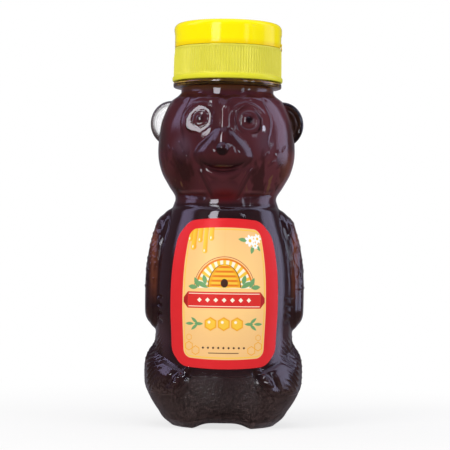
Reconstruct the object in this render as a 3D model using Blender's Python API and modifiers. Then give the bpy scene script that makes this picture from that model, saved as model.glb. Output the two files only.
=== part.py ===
"""Bear-shaped squeeze bottle of dark honey, with a front label and a flip-top screw cap.

Metres, +Z up. The bear sits on z = 0 and faces -Y, and the neck's axis is the Z axis.
The cap unscrews about Z, and its lid tips open on a living hinge at +X.
"""

from collections import namedtuple
from math import atan2, ceil, cos, hypot, pi, radians, sin, tau

import bmesh
import bpy
from mathutils import Matrix, Vector

# Clearance between neighbouring pieces, how far a cutter runs past what it cuts, and small chamfers
GAP = 0.0003
OVERRUN = 0.002
EDGE_CHAMFER = 0.0003
MERGE = 0.00001

# Bear: heights on the neck's axis and reaches from it, without the limbs
WAIST_HEIGHT = 0.0855
HEAD_HEIGHT = 0.0399
TORSO_HALF_WIDTH = 0.0264
TORSO_HALF_DEPTH = 0.026
WAIST_RADIUS = 0.0191
HEAD_HALF_WIDTH = 0.0258
HEAD_HALF_DEPTH = 0.0226
BODY_WALL = 0.0009

# Torso, from the feet up: shares of the waist's height, half width, front depth and back depth
TORSO_SHARES = [
    (0.000, 0.735, 0.808, 0.808),
    (0.035, 0.870, 0.896, 0.904),
    (0.094, 0.962, 0.946, 0.962),
    (0.187, 0.998, 0.969, 0.992),
    (0.281, 1.000, 0.973, 1.000),
    (0.398, 0.977, 0.977, 0.992),
    (0.526, 0.992, 0.977, 0.969),
    (0.667, 0.985, 0.958, 0.923),
    (0.772, 0.943, 0.915, 0.869),
    (0.865, 0.867, 0.842, 0.792),
    (0.936, 0.795, 0.762, 0.723),
]
WAIST_SHARES = (1.0, 0.955, 0.935)

# Head, from the waist to the neck: the same shares, of its own height, half width and half depth
HEAD_SHARES = [
    (0.113, 0.837, 0.850, 0.858),
    (0.238, 0.942, 0.898, 0.947),
    (0.388, 1.000, 0.929, 1.000),
    (0.564, 0.996, 0.929, 1.000),
    (0.714, 0.965, 0.903, 0.960),
    (0.840, 0.891, 0.850, 0.885),
    (0.925, 0.806, 0.805, 0.823),
    (0.970, 0.721, 0.783, 0.788),
]

# Base: a flat foot ring round a pushed-up middle, with an arch between the feet
FOOT_RING_SHARE = 0.8
PUSH_UP_SHARE = 0.45
PUSH_UP_HEIGHT = 0.0026
ARCH_HEIGHT = 0.0023
ARCH_HALF_WIDTH = 0.0085
ARCH_FADE_HEIGHT = 0.009

# Limbs: tapering swellings of the skin. Angles are turned from the face, and heights are to their middles
ARM_TOP_ANGLE = radians(88)
ARM_TOP_HEIGHT = 0.0735
ARM_TOP_REACH = 0.0085
ARM_END_ANGLE = radians(91)
ARM_END_HEIGHT = 0.0445
ARM_END_REACH = 0.009
ARM_RELIEF = 0.0038
LEG_TOP_ANGLE = radians(96)
LEG_TOP_HEIGHT = 0.020
LEG_TOP_REACH = 0.012
LEG_END_ANGLE = radians(43)
LEG_END_HEIGHT = 0.0165
LEG_END_REACH = 0.0065
LEG_RELIEF = 0.0032

# Face: the muzzle and chin swell out of the skin, and the nose and eyes stand on it. Rises are from the waist
MUZZLE_RISE = 0.0167
MUZZLE_HALF_WIDTH = 0.0115
MUZZLE_HALF_HEIGHT = 0.0095
MUZZLE_RELIEF = 0.0037
CHIN_RISE = 0.006
CHIN_REACH = 0.0058
CHIN_RELIEF = 0.0016
NOSE_RISE = 0.0175
NOSE_RADIUS = 0.0021
NOSE_STAND = 0.0013
EYE_ANGLE = radians(25)
EYE_RISE = 0.0294
EYE_RING_RADIUS = 0.0041
EYE_RING_TUBE = 0.0007
EYE_BALL_RADIUS = 0.0034
EYE_BALL_STAND = 0.0014

# Ears: round webs with a thick rim, at the sides of the head
EAR_CENTRE_SIDE = 0.0211
EAR_CENTRE_BACK = 0.002
EAR_RISE = 0.0285
EAR_RADIUS = 0.0084
EAR_RIM_RADIUS = 0.0014
EAR_WEB_THICKNESS = 0.0013

# Neck finish, from the body up: a plain neck, the carrying ring, and the threaded finish with the mouth
NECK_RADIUS = 0.0175
NECK_WALL = 0.0013
NECK_LENGTH = 0.0019
RING_THICKNESS = 0.002
RING_REACH = 0.003
FINISH_LENGTH = 0.0106
THREAD_PITCH = 0.004233
THREAD_TURNS = 1.25
THREAD_START_RISE = 0.0031
THREAD_START_TURN = radians(4.5)
THREAD_TUBE = 0.0012
HONEY_RISE = 0.0011

# Front label: a barrel-shaped film on the belly
LABEL_HEIGHT = 0.0553
LABEL_MIDDLE_HEIGHT = 0.0501
LABEL_HALF_WIDTH = 0.0196
LABEL_CORNER = 0.0066
LABEL_SIDE_BOW = 0.0016
LABEL_END_BOW = 0.0016
LABEL_FILM = 0.0002

# Seal on the mouth: foil on a foam disc
SEAL_REACH = 0.0009
SEAL_THICKNESS = 0.001

# Cap base: ribbed skirt, deck and pouring spout. The bore clears the neck, and the walls are outside the bore
CAP_CLEARANCE = 0.0017
SKIRT_TOP_WALL = 0.0011
SKIRT_BOTTOM_WALL = 0.0013
RIB_COUNT = 120
RIB_DEPTH = 0.00035
BEAD_WALL = 0.0017
BEAD_HEIGHT = 0.0019
BEAD_ROUND = 0.0006
BEAD_FACET_TURN = radians(0.11)
CAP_THREAD_TUBE = 0.0008
CAP_THREAD_STAND = 0.0001
CAP_THREAD_TURNS = 1.1
CAP_THREAD_START_TURN = radians(61)
DECK_THICKNESS = 0.0015
SPOUT_FOOT_RADIUS = 0.0075
SPOUT_TIP_RADIUS = 0.0042
SPOUT_HEIGHT = 0.0045
ORIFICE_RADIUS = 0.0026
THUMB_RECESS_RADIUS = 0.006
THUMB_RECESS_DEPTH = 0.0006

# Flip lid: a shallow cup with a plug pin
LID_STEP = 0.0001
LID_HEIGHT = 0.0083
LID_WALL = 0.0012
LID_ROUND = 0.0023
PLUG_ROOT_RADIUS = 0.0021
PLUG_TIP_RADIUS = 0.0014
PLUG_ENTRY = 0.0016

# Living hinge: a thin web on the hinge axis, in a slot across the parting line
HINGE_STEP = 0.00005
HINGE_WEB_RADIUS = 0.00032
HINGE_LENGTH = 0.008

# Facets
BEAR_COLUMNS = 40
BEAR_ROWS = 29
ROW_CROWDING_SHARE = 0.3
ROUND_STEPS = 56
SMALL_STEPS = 20
FINE_STEPS = 12
TURN_POINTS = 28
ARC_STEPS = 4
BOW_STEPS = 5

# Places that follow from the sizes above
BODY_HEIGHT = WAIST_HEIGHT + HEAD_HEIGHT
MUZZLE_HEIGHT = WAIST_HEIGHT + MUZZLE_RISE
CHIN_HEIGHT = WAIST_HEIGHT + CHIN_RISE
NOSE_HEIGHT = WAIST_HEIGHT + NOSE_RISE
EYE_HEIGHT = WAIST_HEIGHT + EYE_RISE
EAR_CENTRE_HEIGHT = WAIST_HEIGHT + EAR_RISE
RING_BOTTOM = BODY_HEIGHT + NECK_LENGTH
RING_TOP = RING_BOTTOM + RING_THICKNESS
HONEY_TOP = RING_BOTTOM + HONEY_RISE
THREAD_START_HEIGHT = RING_TOP + THREAD_START_RISE
MOUTH_HEIGHT = RING_TOP + FINISH_LENGTH
SKIRT_BOTTOM = RING_TOP + GAP
SEAL_BOTTOM = MOUTH_HEIGHT + GAP
DECK_BOTTOM = SEAL_BOTTOM + SEAL_THICKNESS + GAP
DECK_TOP = DECK_BOTTOM + DECK_THICKNESS
LID_BOTTOM = DECK_TOP + GAP
LID_TOP = LID_BOTTOM + LID_HEIGHT
LID_CEILING = LID_TOP - LID_WALL
SPOUT_TIP = DECK_TOP + SPOUT_HEIGHT
HINGE_HEIGHT = DECK_TOP + GAP / 2
HINGE_SLOT_REACH = HINGE_WEB_RADIUS + GAP
BORE_RADIUS = NECK_RADIUS - NECK_WALL
RING_RADIUS = NECK_RADIUS + RING_REACH
SEAL_RADIUS = NECK_RADIUS + SEAL_REACH
CAP_BORE_RADIUS = NECK_RADIUS + CAP_CLEARANCE
CAP_THREAD_RADIUS = CAP_BORE_RADIUS - CAP_THREAD_STAND
SKIRT_TOP_RADIUS = CAP_BORE_RADIUS + SKIRT_TOP_WALL
SKIRT_BOTTOM_RADIUS = CAP_BORE_RADIUS + SKIRT_BOTTOM_WALL
BEAD_RADIUS = CAP_BORE_RADIUS + BEAD_WALL
LID_RADIUS = SKIRT_TOP_RADIUS + LID_STEP
HINGE_AXIS_RADIUS = LID_RADIUS + HINGE_STEP
GIRTH_RADIUS = TORSO_HALF_WIDTH

Limb = namedtuple("Limb", "top_angle top_height top_reach end_angle end_height end_reach relief")
ARM = Limb(
    ARM_TOP_ANGLE, ARM_TOP_HEIGHT, ARM_TOP_REACH, ARM_END_ANGLE, ARM_END_HEIGHT, ARM_END_REACH, ARM_RELIEF
)
LEG = Limb(
    LEG_TOP_ANGLE, LEG_TOP_HEIGHT, LEG_TOP_REACH, LEG_END_ANGLE, LEG_END_HEIGHT, LEG_END_REACH, LEG_RELIEF
)


def new_collection(name):
    """A collection of its own in the scene."""
    collection = bpy.data.collections.new(name)
    bpy.context.scene.collection.children.link(collection)
    return collection


def material(name, colour, roughness, metallic=0.0, transmission=0.0):
    """A Principled material."""
    made = bpy.data.materials.new(name)
    made.use_nodes = True
    shader = made.node_tree.nodes["Principled BSDF"]
    shader.inputs["Base Color"].default_value = (*colour, 1.0)
    shader.inputs["Roughness"].default_value = roughness
    shader.inputs["Metallic"].default_value = metallic
    shader.inputs["Transmission Weight"].default_value = transmission
    made.diffuse_color = (*colour, 1.0)
    return made


def mesh_object(name, form, collection):
    """An object that takes its mesh from a bmesh, with the faces turned outwards."""
    bmesh.ops.recalc_face_normals(form, faces=form.faces)
    mesh = bpy.data.meshes.new(name)
    form.to_mesh(mesh)
    form.free()
    made = bpy.data.objects.new(name, mesh)
    collection.objects.link(made)
    return made


def finished(made, look):
    """Gives a piece its material and smooth shading between its sharp edges."""
    made.data.materials.append(look)
    made.data.shade_smooth()
    made.data.set_sharp_from_angle(angle=radians(40))
    return made


def joined(target, operand, operation, cutters):
    """Joins, cuts or trims the target by another object, which becomes a hidden guide."""
    for collection in list(operand.users_collection):
        collection.objects.unlink(operand)
    cutters.objects.link(operand)
    operand.hide_render = True
    operand.display_type = "WIRE"
    modifier = target.modifiers.new(operand.name, "BOOLEAN")
    modifier.operation = operation
    modifier.solver = "EXACT"
    modifier.object = operand


def turned(name, outline, collection, steps=ROUND_STEPS, closed=False):
    """A solid turned about Z from an outline of radii and heights, which runs down its outer side."""
    mesh = bpy.data.meshes.new(name)
    edges = [(index, index + 1) for index in range(len(outline) - 1)]
    if closed:
        edges.append((len(outline) - 1, 0))
    mesh.from_pydata([(radius, 0, height) for radius, height in outline], edges, [])
    made = bpy.data.objects.new(name, mesh)
    collection.objects.link(made)
    screw = made.modifiers.new("Turned", "SCREW")
    screw.axis = "Z"
    screw.angle = tau
    screw.steps = steps
    screw.render_steps = steps
    screw.use_merge_vertices = True
    screw.merge_threshold = MERGE
    return made


def arc(centre_radius, centre_height, radius, start, end, steps=ARC_STEPS):
    """Points of a round corner in a turned outline, between two angles in degrees."""
    angles = [radians(start + (end - start) * index / steps) for index in range(steps + 1)]
    return [(centre_radius + radius * cos(turn), centre_height + radius * sin(turn)) for turn in angles]


def tube(name, points, radius, collection):
    """A closed tube along the points, as a mesh that can take part in a Boolean."""
    curve = bpy.data.curves.new(name, "CURVE")
    curve.dimensions = "3D"
    curve.bevel_depth = radius
    curve.bevel_resolution = 1
    curve.use_fill_caps = True
    spline = curve.splines.new("POLY")
    spline.points.add(len(points) - 1)
    for place, point in zip(spline.points, points):
        place.co = (*point, 1)
    route = bpy.data.objects.new(name, curve)
    collection.objects.link(route)
    bpy.context.view_layer.update()
    evaluated = route.evaluated_get(bpy.context.evaluated_depsgraph_get())
    form = bmesh.new()
    form.from_mesh(bpy.data.meshes.new_from_object(evaluated))
    bmesh.ops.remove_doubles(form, verts=form.verts, dist=MERGE)
    made = mesh_object(f"{name}_solid", form, collection)
    made.matrix_world = route.matrix_world
    bpy.data.objects.remove(route)
    return made


def helix(radius, start_height, start_turn, turns):
    """Points of a right-handed thread."""
    count = ceil(turns * TURN_POINTS)
    points = []
    for index in range(count + 1):
        turn = start_turn + tau * turns * index / count
        height = start_height + THREAD_PITCH * turn / tau
        points.append((radius * cos(turn), radius * sin(turn), height))
    return points


def block(name, low, high, collection):
    """A box between two corners."""
    form = bmesh.new()
    low = Vector(low)
    high = Vector(high)
    bmesh.ops.create_cube(form, size=1)
    bmesh.ops.scale(form, vec=high - low, verts=form.verts)
    bmesh.ops.translate(form, vec=(high + low) / 2, verts=form.verts)
    return mesh_object(name, form, collection)


def split_alike(form):
    """Splits every quad along the same diagonal, so that skins at unlike depths stay apart."""
    bmesh.ops.triangulate(form, faces=form.faces, quad_method="FIXED")


def lofted(name, rows, collection):
    """A closed solid through rings of points from bottom to top, with a flat face at each end."""
    form = bmesh.new()
    rings = [[form.verts.new(point) for point in row] for row in rows]
    count = len(rows[0])
    for lower, upper in zip(rings, rings[1:]):
        for index in range(count):
            following = (index + 1) % count
            form.faces.new((lower[index], lower[following], upper[following], upper[index]))
    split_alike(form)
    form.faces.new(rings[0])
    form.faces.new(rings[-1])
    return mesh_object(name, form, collection)


def bear_stations():
    """Height, half width, front depth and back depth of each named level of the bear."""
    torso = [
        (height * WAIST_HEIGHT, side * TORSO_HALF_WIDTH, front * TORSO_HALF_DEPTH, back * TORSO_HALF_DEPTH)
        for height, side, front, back in TORSO_SHARES
    ]
    waist = [(WAIST_HEIGHT, *(share * WAIST_RADIUS for share in WAIST_SHARES))]
    head = [
        (
            WAIST_HEIGHT + height * HEAD_HEIGHT,
            side * HEAD_HALF_WIDTH,
            front * HEAD_HALF_DEPTH,
            back * HEAD_HALF_DEPTH,
        )
        for height, side, front, back in HEAD_SHARES
    ]
    neck = [(BODY_HEIGHT, NECK_RADIUS, NECK_RADIUS, NECK_RADIUS)]
    return torso + waist + head + neck


def slope(stations, index, column):
    """How fast one measure changes with height at a station."""
    before = stations[max(index - 1, 0)]
    after = stations[min(index + 1, len(stations) - 1)]
    return (after[column] - before[column]) / (after[0] - before[0])


def measures_at(stations, height):
    """Half width, front depth and back depth at a height, on smooth curves through the stations."""
    last = len(stations) - 2
    index = max(i for i in range(last + 1) if stations[i][0] <= height or i == 0)
    low, high = stations[index], stations[index + 1]
    span = high[0] - low[0]
    share = min(max((height - low[0]) / span, 0), 1)
    rest = 1 - share
    result = []
    for column in (1, 2, 3):
        start = rest * rest * (1 + 2 * share) * low[column]
        start += rest * rest * share * span * slope(stations, index, column)
        end = share * share * (1 + 2 * rest) * high[column]
        end -= share * share * rest * span * slope(stations, index + 1, column)
        result.append(start + end)
    return result


def plateau(distance_share):
    """A flat-topped swelling: 1 in the middle, and 0 from the edge outwards."""
    return (1 - min(distance_share, 1) ** 4) ** 2


def limb_share(limb, around, height):
    """Distance from a limb's middle line as a share of its reach there, on the unrolled skin."""
    start = Vector((limb.top_angle * GIRTH_RADIUS, limb.top_height))
    run = Vector((limb.end_angle * GIRTH_RADIUS, limb.end_height)) - start
    place = Vector((around, height)) - start
    along = min(max(place.dot(run) / run.dot(run), 0), 1)
    reach = limb.top_reach + (limb.end_reach - limb.top_reach) * along
    return (place - run * along).length / reach


def bear_radius(stations, turn, height):
    """Distance of the bear's skin from the neck's axis, towards an angle turned from the face."""
    half_width, front, back = measures_at(stations, height)
    depth = front if cos(turn) > 0 else back
    radius = 1 / hypot(sin(turn) / half_width, cos(turn) / depth)
    around = abs(turn) * GIRTH_RADIUS
    for limb in (ARM, LEG):
        radius += limb.relief * plateau(limb_share(limb, around, height))
    muzzle = hypot(around / MUZZLE_HALF_WIDTH, (height - MUZZLE_HEIGHT) / MUZZLE_HALF_HEIGHT)
    chin = hypot(around, height - CHIN_HEIGHT) / CHIN_REACH
    return radius + MUZZLE_RELIEF * plateau(muzzle) + CHIN_RELIEF * plateau(chin)


def bear_point(stations, turn, height, share=1.0):
    """A point of the skin, or of the base where the share of its radius is under 1."""
    radius = bear_radius(stations, turn, height) * share
    side = radius * sin(turn)
    arch = plateau(abs(side) / ARCH_HALF_WIDTH) if cos(turn) > 0 else 0
    lift = ARCH_HEIGHT * arch * max(1 - height / ARCH_FADE_HEIGHT, 0)
    return Vector((side, -radius * cos(turn), height + lift))


def row_heights():
    """Heights of the skin's rings, closer together near the feet and the neck."""
    heights = []
    for index in range(BEAR_ROWS + 1):
        share = index / BEAR_ROWS
        heights.append(BODY_HEIGHT * (share - ROW_CROWDING_SHARE * sin(tau * share) / tau))
    return heights


def bear_rings():
    """The whole skin as rings of points, from the pushed-up middle of the base to the neck."""
    stations = bear_stations()
    turns = [tau * index / BEAR_COLUMNS - pi for index in range(BEAR_COLUMNS)]
    middle = [bear_point(stations, turn, 0, PUSH_UP_SHARE) for turn in turns]
    for point in middle:
        point.z = PUSH_UP_HEIGHT
    foot_ring = [bear_point(stations, turn, 0, FOOT_RING_SHARE) for turn in turns]
    skin = [[bear_point(stations, turn, height) for turn in turns] for height in row_heights()]
    return [middle, foot_ring, *skin]


def ring_normals(rings):
    """The outward direction at each point of the skin's rings."""
    count = len(rings[0])
    normals = []
    for level, ring in enumerate(rings):
        lower = rings[max(level - 1, 0)]
        upper = rings[min(level + 1, len(rings) - 1)]
        row = []
        for index in range(count):
            across = ring[(index + 1) % count] - ring[index - 1]
            row.append(across.cross(upper[index] - lower[index]).normalized())
        normals.append(row)
    normals[0] = [Vector((0, 0, -1))] * count
    normals[-1] = [Vector((point.x, point.y, 0)).normalized() for point in rings[-1]]
    return normals


def inset_rings(depth):
    """The skin's rings, moved inwards along their normals."""
    rings = bear_rings()
    normals = ring_normals(rings)
    return [
        [point - normal * depth for point, normal in zip(ring, row)] for ring, row in zip(rings, normals)
    ]


def round_ring(radius, height, steps=BEAR_COLUMNS):
    """A ring of points about the neck's axis, in step with the skin's rings where no steps are given."""
    turns = [tau * index / steps - pi for index in range(steps)]
    return [Vector((radius * sin(turn), -radius * cos(turn), height)) for turn in turns]


def rings_solid(name, rings, steps, collection):
    """A round solid through rings of radius and height, with a flat face at each end."""
    return lofted(name, [round_ring(radius, height, steps) for radius, height in rings], collection)


def skin_frame(turn, height):
    """The place and the outward direction of the skin at an angle and height, as a matrix."""
    stations = bear_stations()
    step_turn, step_height = tau / BEAR_COLUMNS / 2, BODY_HEIGHT / BEAR_ROWS / 2
    here = bear_point(stations, turn, height)
    across = bear_point(stations, turn + step_turn, height) - bear_point(stations, turn - step_turn, height)
    up = bear_point(stations, turn, height + step_height) - bear_point(stations, turn, height - step_height)
    outward = across.cross(up).normalized()
    return Matrix.Translation(here) @ outward.to_track_quat("Z", "Y").to_matrix().to_4x4()


def ball(name, radius, place, collection):
    """A small sphere at a matrix."""
    form = bmesh.new()
    bmesh.ops.create_uvsphere(form, u_segments=FINE_STEPS, v_segments=FINE_STEPS // 2, radius=radius)
    form.transform(place)
    return mesh_object(name, form, collection)


def eye_ring(name, place, collection):
    """The raised ring round an eye."""
    outline = arc(EYE_RING_RADIUS, 0, EYE_RING_TUBE, 90, -270, steps=FINE_STEPS // 2)[:-1]
    made = turned(name, outline, collection, steps=FINE_STEPS, closed=True)
    made.matrix_world = place
    return made


def ear(name, side, collection):
    """A round web with a thick rim, turned about an axis that points backwards."""
    rim_centre = EAR_RADIUS - EAR_RIM_RADIUS
    half_web = EAR_WEB_THICKNESS / 2
    outline = [(0, half_web), (rim_centre - EAR_RIM_RADIUS, half_web)]
    outline += arc(rim_centre, 0, EAR_RIM_RADIUS, 120, -120, steps=FINE_STEPS // 2)
    outline += [(rim_centre - EAR_RIM_RADIUS, -half_web), (0, -half_web)]
    made = turned(name, outline, collection, steps=SMALL_STEPS)
    made.location = (side * EAR_CENTRE_SIDE, EAR_CENTRE_BACK, EAR_CENTRE_HEIGHT)
    made.rotation_euler = (radians(-90), 0, 0)
    return made


def make_bottle(parts, cutters, look):
    """The moulded bear: skin, ears and face, neck finish with its thread, and the hollow inside."""
    outer = bear_rings()
    neck = [
        round_ring(NECK_RADIUS, RING_BOTTOM),
        round_ring(RING_RADIUS, RING_BOTTOM + EDGE_CHAMFER),
        round_ring(RING_RADIUS, RING_TOP - EDGE_CHAMFER),
        round_ring(NECK_RADIUS, RING_TOP),
        round_ring(NECK_RADIUS, MOUTH_HEIGHT),
    ]
    bottle = lofted("bottle", outer + neck, parts)

    for side, word in ((-1, "right"), (1, "left")):
        joined(bottle, ear(f"ear_{word}", side, cutters), "UNION", cutters)
        place = skin_frame(side * EYE_ANGLE, EYE_HEIGHT)
        joined(bottle, eye_ring(f"eye_ring_{word}", place, cutters), "UNION", cutters)
        sunk = place @ Matrix.Translation((0, 0, EYE_BALL_STAND - EYE_BALL_RADIUS))
        joined(bottle, ball(f"eye_ball_{word}", EYE_BALL_RADIUS, sunk, cutters), "UNION", cutters)
    nose = skin_frame(0, NOSE_HEIGHT) @ Matrix.Translation((0, 0, NOSE_STAND - NOSE_RADIUS))
    joined(bottle, ball("nose", NOSE_RADIUS, nose, cutters), "UNION", cutters)

    thread = helix(NECK_RADIUS, THREAD_START_HEIGHT, THREAD_START_TURN, THREAD_TURNS)
    joined(bottle, tube("neck_thread", thread, THREAD_TUBE, cutters), "UNION", cutters)

    bore = [round_ring(BORE_RADIUS, RING_BOTTOM), round_ring(BORE_RADIUS, MOUTH_HEIGHT + OVERRUN)]
    joined(bottle, lofted("hollow", inset_rings(BODY_WALL) + bore, cutters), "DIFFERENCE", cutters)
    return finished(bottle, look)


def make_honey(parts, look):
    """The honey, which fills the bear up into the neck."""
    neck_radius = BORE_RADIUS - GAP
    neck = [round_ring(neck_radius, RING_BOTTOM), round_ring(neck_radius, HONEY_TOP)]
    return finished(lofted("honey", inset_rings(BODY_WALL + GAP) + neck, parts), look)


def label_outline():
    """Half width and height points of the label: bowed sides and ends, with round corners."""
    half_height = LABEL_HEIGHT / 2
    inner_side = LABEL_HALF_WIDTH - LABEL_SIDE_BOW - LABEL_CORNER
    inner_end = half_height - LABEL_END_BOW - LABEL_CORNER
    points = []
    for quarter in range(4):
        side = 1 if quarter in (0, 3) else -1
        end = 1 if quarter in (0, 1) else -1
        for index in range(ARC_STEPS * 2 + 1):
            turn = (quarter + index / (ARC_STEPS * 2)) * pi / 2
            across = side * inner_side + LABEL_CORNER * cos(turn)
            along = end * inner_end + LABEL_CORNER * sin(turn)
            points.append((across, along))
        middle = (quarter + 1) * pi / 2
        outward = Vector((cos(middle), sin(middle)))
        last = Vector(points[-1])
        following = 2 * last.dot(outward) * outward - last
        bow = LABEL_SIDE_BOW if quarter % 2 else LABEL_END_BOW
        for index in range(1, BOW_STEPS):
            share = index / BOW_STEPS
            swell = 1 - (2 * share - 1) ** 2
            points.append(tuple(last.lerp(following, share) + bow * swell * outward))
    return points


def make_label(parts, cutters, look):
    """The film on the belly: a patch of the skin moved out by the gap, trimmed to its outline."""
    sheet = inset_rings(-GAP)
    reach = LABEL_HALF_WIDTH + OVERRUN
    low = LABEL_MIDDLE_HEIGHT - LABEL_HEIGHT / 2 - OVERRUN
    high = LABEL_MIDDLE_HEIGHT + LABEL_HEIGHT / 2 + OVERRUN
    form = bmesh.new()
    rings = [[form.verts.new(point) for point in row] for row in sheet[2:]]
    for lower, upper in zip(rings, rings[1:]):
        for index in range(len(lower) - 1):
            corners = (lower[index], lower[index + 1], upper[index + 1], upper[index])
            in_front = all(corner.co.y < 0 for corner in corners)
            beside = any(abs(corner.co.x) < reach for corner in corners)
            level = any(low < corner.co.z < high for corner in corners)
            if in_front and beside and level:
                form.faces.new(corners)
    loose = [corner for corner in form.verts if not corner.link_faces]
    bmesh.ops.delete(form, geom=loose, context="VERTS")
    split_alike(form)
    label = mesh_object("front_label", form, parts)
    film = label.modifiers.new("Film", "SOLIDIFY")
    film.thickness = LABEL_FILM
    film.offset = 1

    form = bmesh.new()
    outline = [form.verts.new((x, 0, LABEL_MIDDLE_HEIGHT + z)) for x, z in label_outline()]
    face = form.faces.new(outline)
    depth = TORSO_HALF_DEPTH + OVERRUN
    walls = bmesh.ops.extrude_face_region(form, geom=[face])["geom"]
    moved = [item for item in walls if isinstance(item, bmesh.types.BMVert)]
    bmesh.ops.translate(form, vec=(0, -depth, 0), verts=moved)
    joined(label, mesh_object("label_outline", form, cutters), "INTERSECT", cutters)
    return finished(label, look)


def make_seal(parts, look):
    """The foil and foam disc on the mouth."""
    top = SEAL_BOTTOM + SEAL_THICKNESS
    outline = [(0, top), (SEAL_RADIUS, top), (SEAL_RADIUS, SEAL_BOTTOM), (0, SEAL_BOTTOM)]
    return finished(turned("seal_liner", outline, parts), look)


def ribbed_barrel(cutters):
    """The ribbed outside of the cap base, as a star-shaped cone."""
    form = bmesh.new()
    height = DECK_TOP - SKIRT_BOTTOM - BEAD_HEIGHT / 2
    bmesh.ops.create_cone(
        form,
        cap_ends=True,
        segments=2 * RIB_COUNT,
        radius1=SKIRT_BOTTOM_RADIUS,
        radius2=SKIRT_TOP_RADIUS,
        depth=height,
    )
    for corner in form.verts:
        rib = round((atan2(corner.co.y, corner.co.x) % tau) / tau * 2 * RIB_COUNT)
        if rib % 2:
            radius = hypot(corner.co.x, corner.co.y)
            corner.co.x *= 1 - RIB_DEPTH / radius
            corner.co.y *= 1 - RIB_DEPTH / radius
    bmesh.ops.translate(form, vec=(0, 0, DECK_TOP - height / 2), verts=form.verts)
    return mesh_object("cap_base", form, cutters)


def hinge_slot(name, cutters):
    """The slot across the parting line in which the hinge web lies."""
    inner = HINGE_AXIS_RADIUS - HINGE_SLOT_REACH
    half_length = HINGE_LENGTH / 2 + GAP
    low = (inner, -half_length, HINGE_HEIGHT - HINGE_SLOT_REACH)
    high = (inner + OVERRUN, half_length, HINGE_HEIGHT + HINGE_SLOT_REACH)
    return block(name, low, high, cutters)


def make_cap_base(parts, cutters, look):
    """The screw cap: ribbed skirt with a bead, threaded bore, deck and spout."""
    cap = ribbed_barrel(parts)

    bead_top = SKIRT_BOTTOM + BEAD_HEIGHT
    inner = CAP_BORE_RADIUS + GAP
    bead_centre = BEAD_RADIUS - BEAD_ROUND
    bead = [(inner, bead_top), (bead_centre, bead_top)]
    bead += arc(bead_centre, bead_top - BEAD_ROUND, BEAD_ROUND, 90, 0)[1:]
    bead += arc(bead_centre, SKIRT_BOTTOM + BEAD_ROUND, BEAD_ROUND, 0, -90)
    bead += [(inner, SKIRT_BOTTOM)]
    ring = turned("bead", bead, cutters, closed=True)
    ring.rotation_euler = (0, 0, BEAD_FACET_TURN)
    joined(cap, ring, "UNION", cutters)

    joined(cap, rings_solid("cap_bore", [
        (CAP_BORE_RADIUS, SKIRT_BOTTOM - OVERRUN),
        (CAP_BORE_RADIUS, DECK_BOTTOM),
    ], ROUND_STEPS, cutters), "DIFFERENCE", cutters)

    joined(cap, rings_solid("spout", [
        (SPOUT_FOOT_RADIUS, DECK_TOP - DECK_THICKNESS / 2),
        (SPOUT_TIP_RADIUS, SPOUT_TIP - EDGE_CHAMFER),
        (SPOUT_TIP_RADIUS - EDGE_CHAMFER, SPOUT_TIP),
    ], SMALL_STEPS, cutters), "UNION", cutters)

    joined(cap, rings_solid("orifice", [
        (ORIFICE_RADIUS, DECK_BOTTOM - OVERRUN),
        (ORIFICE_RADIUS, SPOUT_TIP + OVERRUN),
    ], SMALL_STEPS, cutters), "DIFFERENCE", cutters)

    start_height = THREAD_START_HEIGHT - THREAD_PITCH / 2
    thread = helix(CAP_THREAD_RADIUS, start_height, CAP_THREAD_START_TURN, CAP_THREAD_TURNS)
    joined(cap, tube("cap_thread", thread, CAP_THREAD_TUBE, cutters), "UNION", cutters)

    recess = [
        (0, DECK_TOP + OVERRUN),
        (THUMB_RECESS_RADIUS, DECK_TOP + OVERRUN),
        (THUMB_RECESS_RADIUS, DECK_TOP - THUMB_RECESS_RADIUS / 2),
        (0, DECK_TOP - THUMB_RECESS_RADIUS / 2),
    ]
    scoop = turned("thumb_recess", recess, cutters, steps=SMALL_STEPS)
    scoop.location = (THUMB_RECESS_DEPTH - THUMB_RECESS_RADIUS - SKIRT_TOP_RADIUS, 0, 0)
    joined(cap, scoop, "DIFFERENCE", cutters)
    joined(cap, hinge_slot("base_hinge_slot", cutters), "DIFFERENCE", cutters)
    return finished(cap, look)


def make_lid(parts, cutters, look):
    """The flip lid: a shallow cup with a rounded top edge and a tapering plug pin."""
    plug_tip = SPOUT_TIP - PLUG_ENTRY
    inner = LID_RADIUS - LID_WALL
    outline = [(0, LID_TOP)]
    outline += arc(LID_RADIUS - LID_ROUND, LID_TOP - LID_ROUND, LID_ROUND, 90, 0)
    outline += [(LID_RADIUS, LID_BOTTOM), (inner, LID_BOTTOM)]
    outline += arc(inner - LID_WALL, LID_CEILING - LID_WALL, LID_WALL, 0, 90, steps=2)
    outline += [(PLUG_ROOT_RADIUS, LID_CEILING), (PLUG_TIP_RADIUS, plug_tip), (0, plug_tip)]
    lid = turned("flip_lid", outline, parts)
    joined(lid, hinge_slot("lid_hinge_slot", cutters), "DIFFERENCE", cutters)
    hinge = bpy.data.objects.new("lid_hinge", None)
    hinge.location = (HINGE_AXIS_RADIUS, 0, HINGE_HEIGHT)
    parts.objects.link(hinge)
    lid.parent = hinge
    lid.location = -hinge.location
    return finished(lid, look)


def make_hinge_web(parts, look):
    """The living hinge: a thin round web along the hinge axis."""
    form = bmesh.new()
    bmesh.ops.create_cone(
        form,
        cap_ends=True,
        segments=FINE_STEPS,
        radius1=HINGE_WEB_RADIUS,
        radius2=HINGE_WEB_RADIUS,
        depth=HINGE_LENGTH,
    )
    web = mesh_object("living_hinge", form, parts)
    web.rotation_euler = (radians(90), 0, 0)
    web.location = (HINGE_AXIS_RADIUS, 0, HINGE_HEIGHT)
    return finished(web, look)


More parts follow.
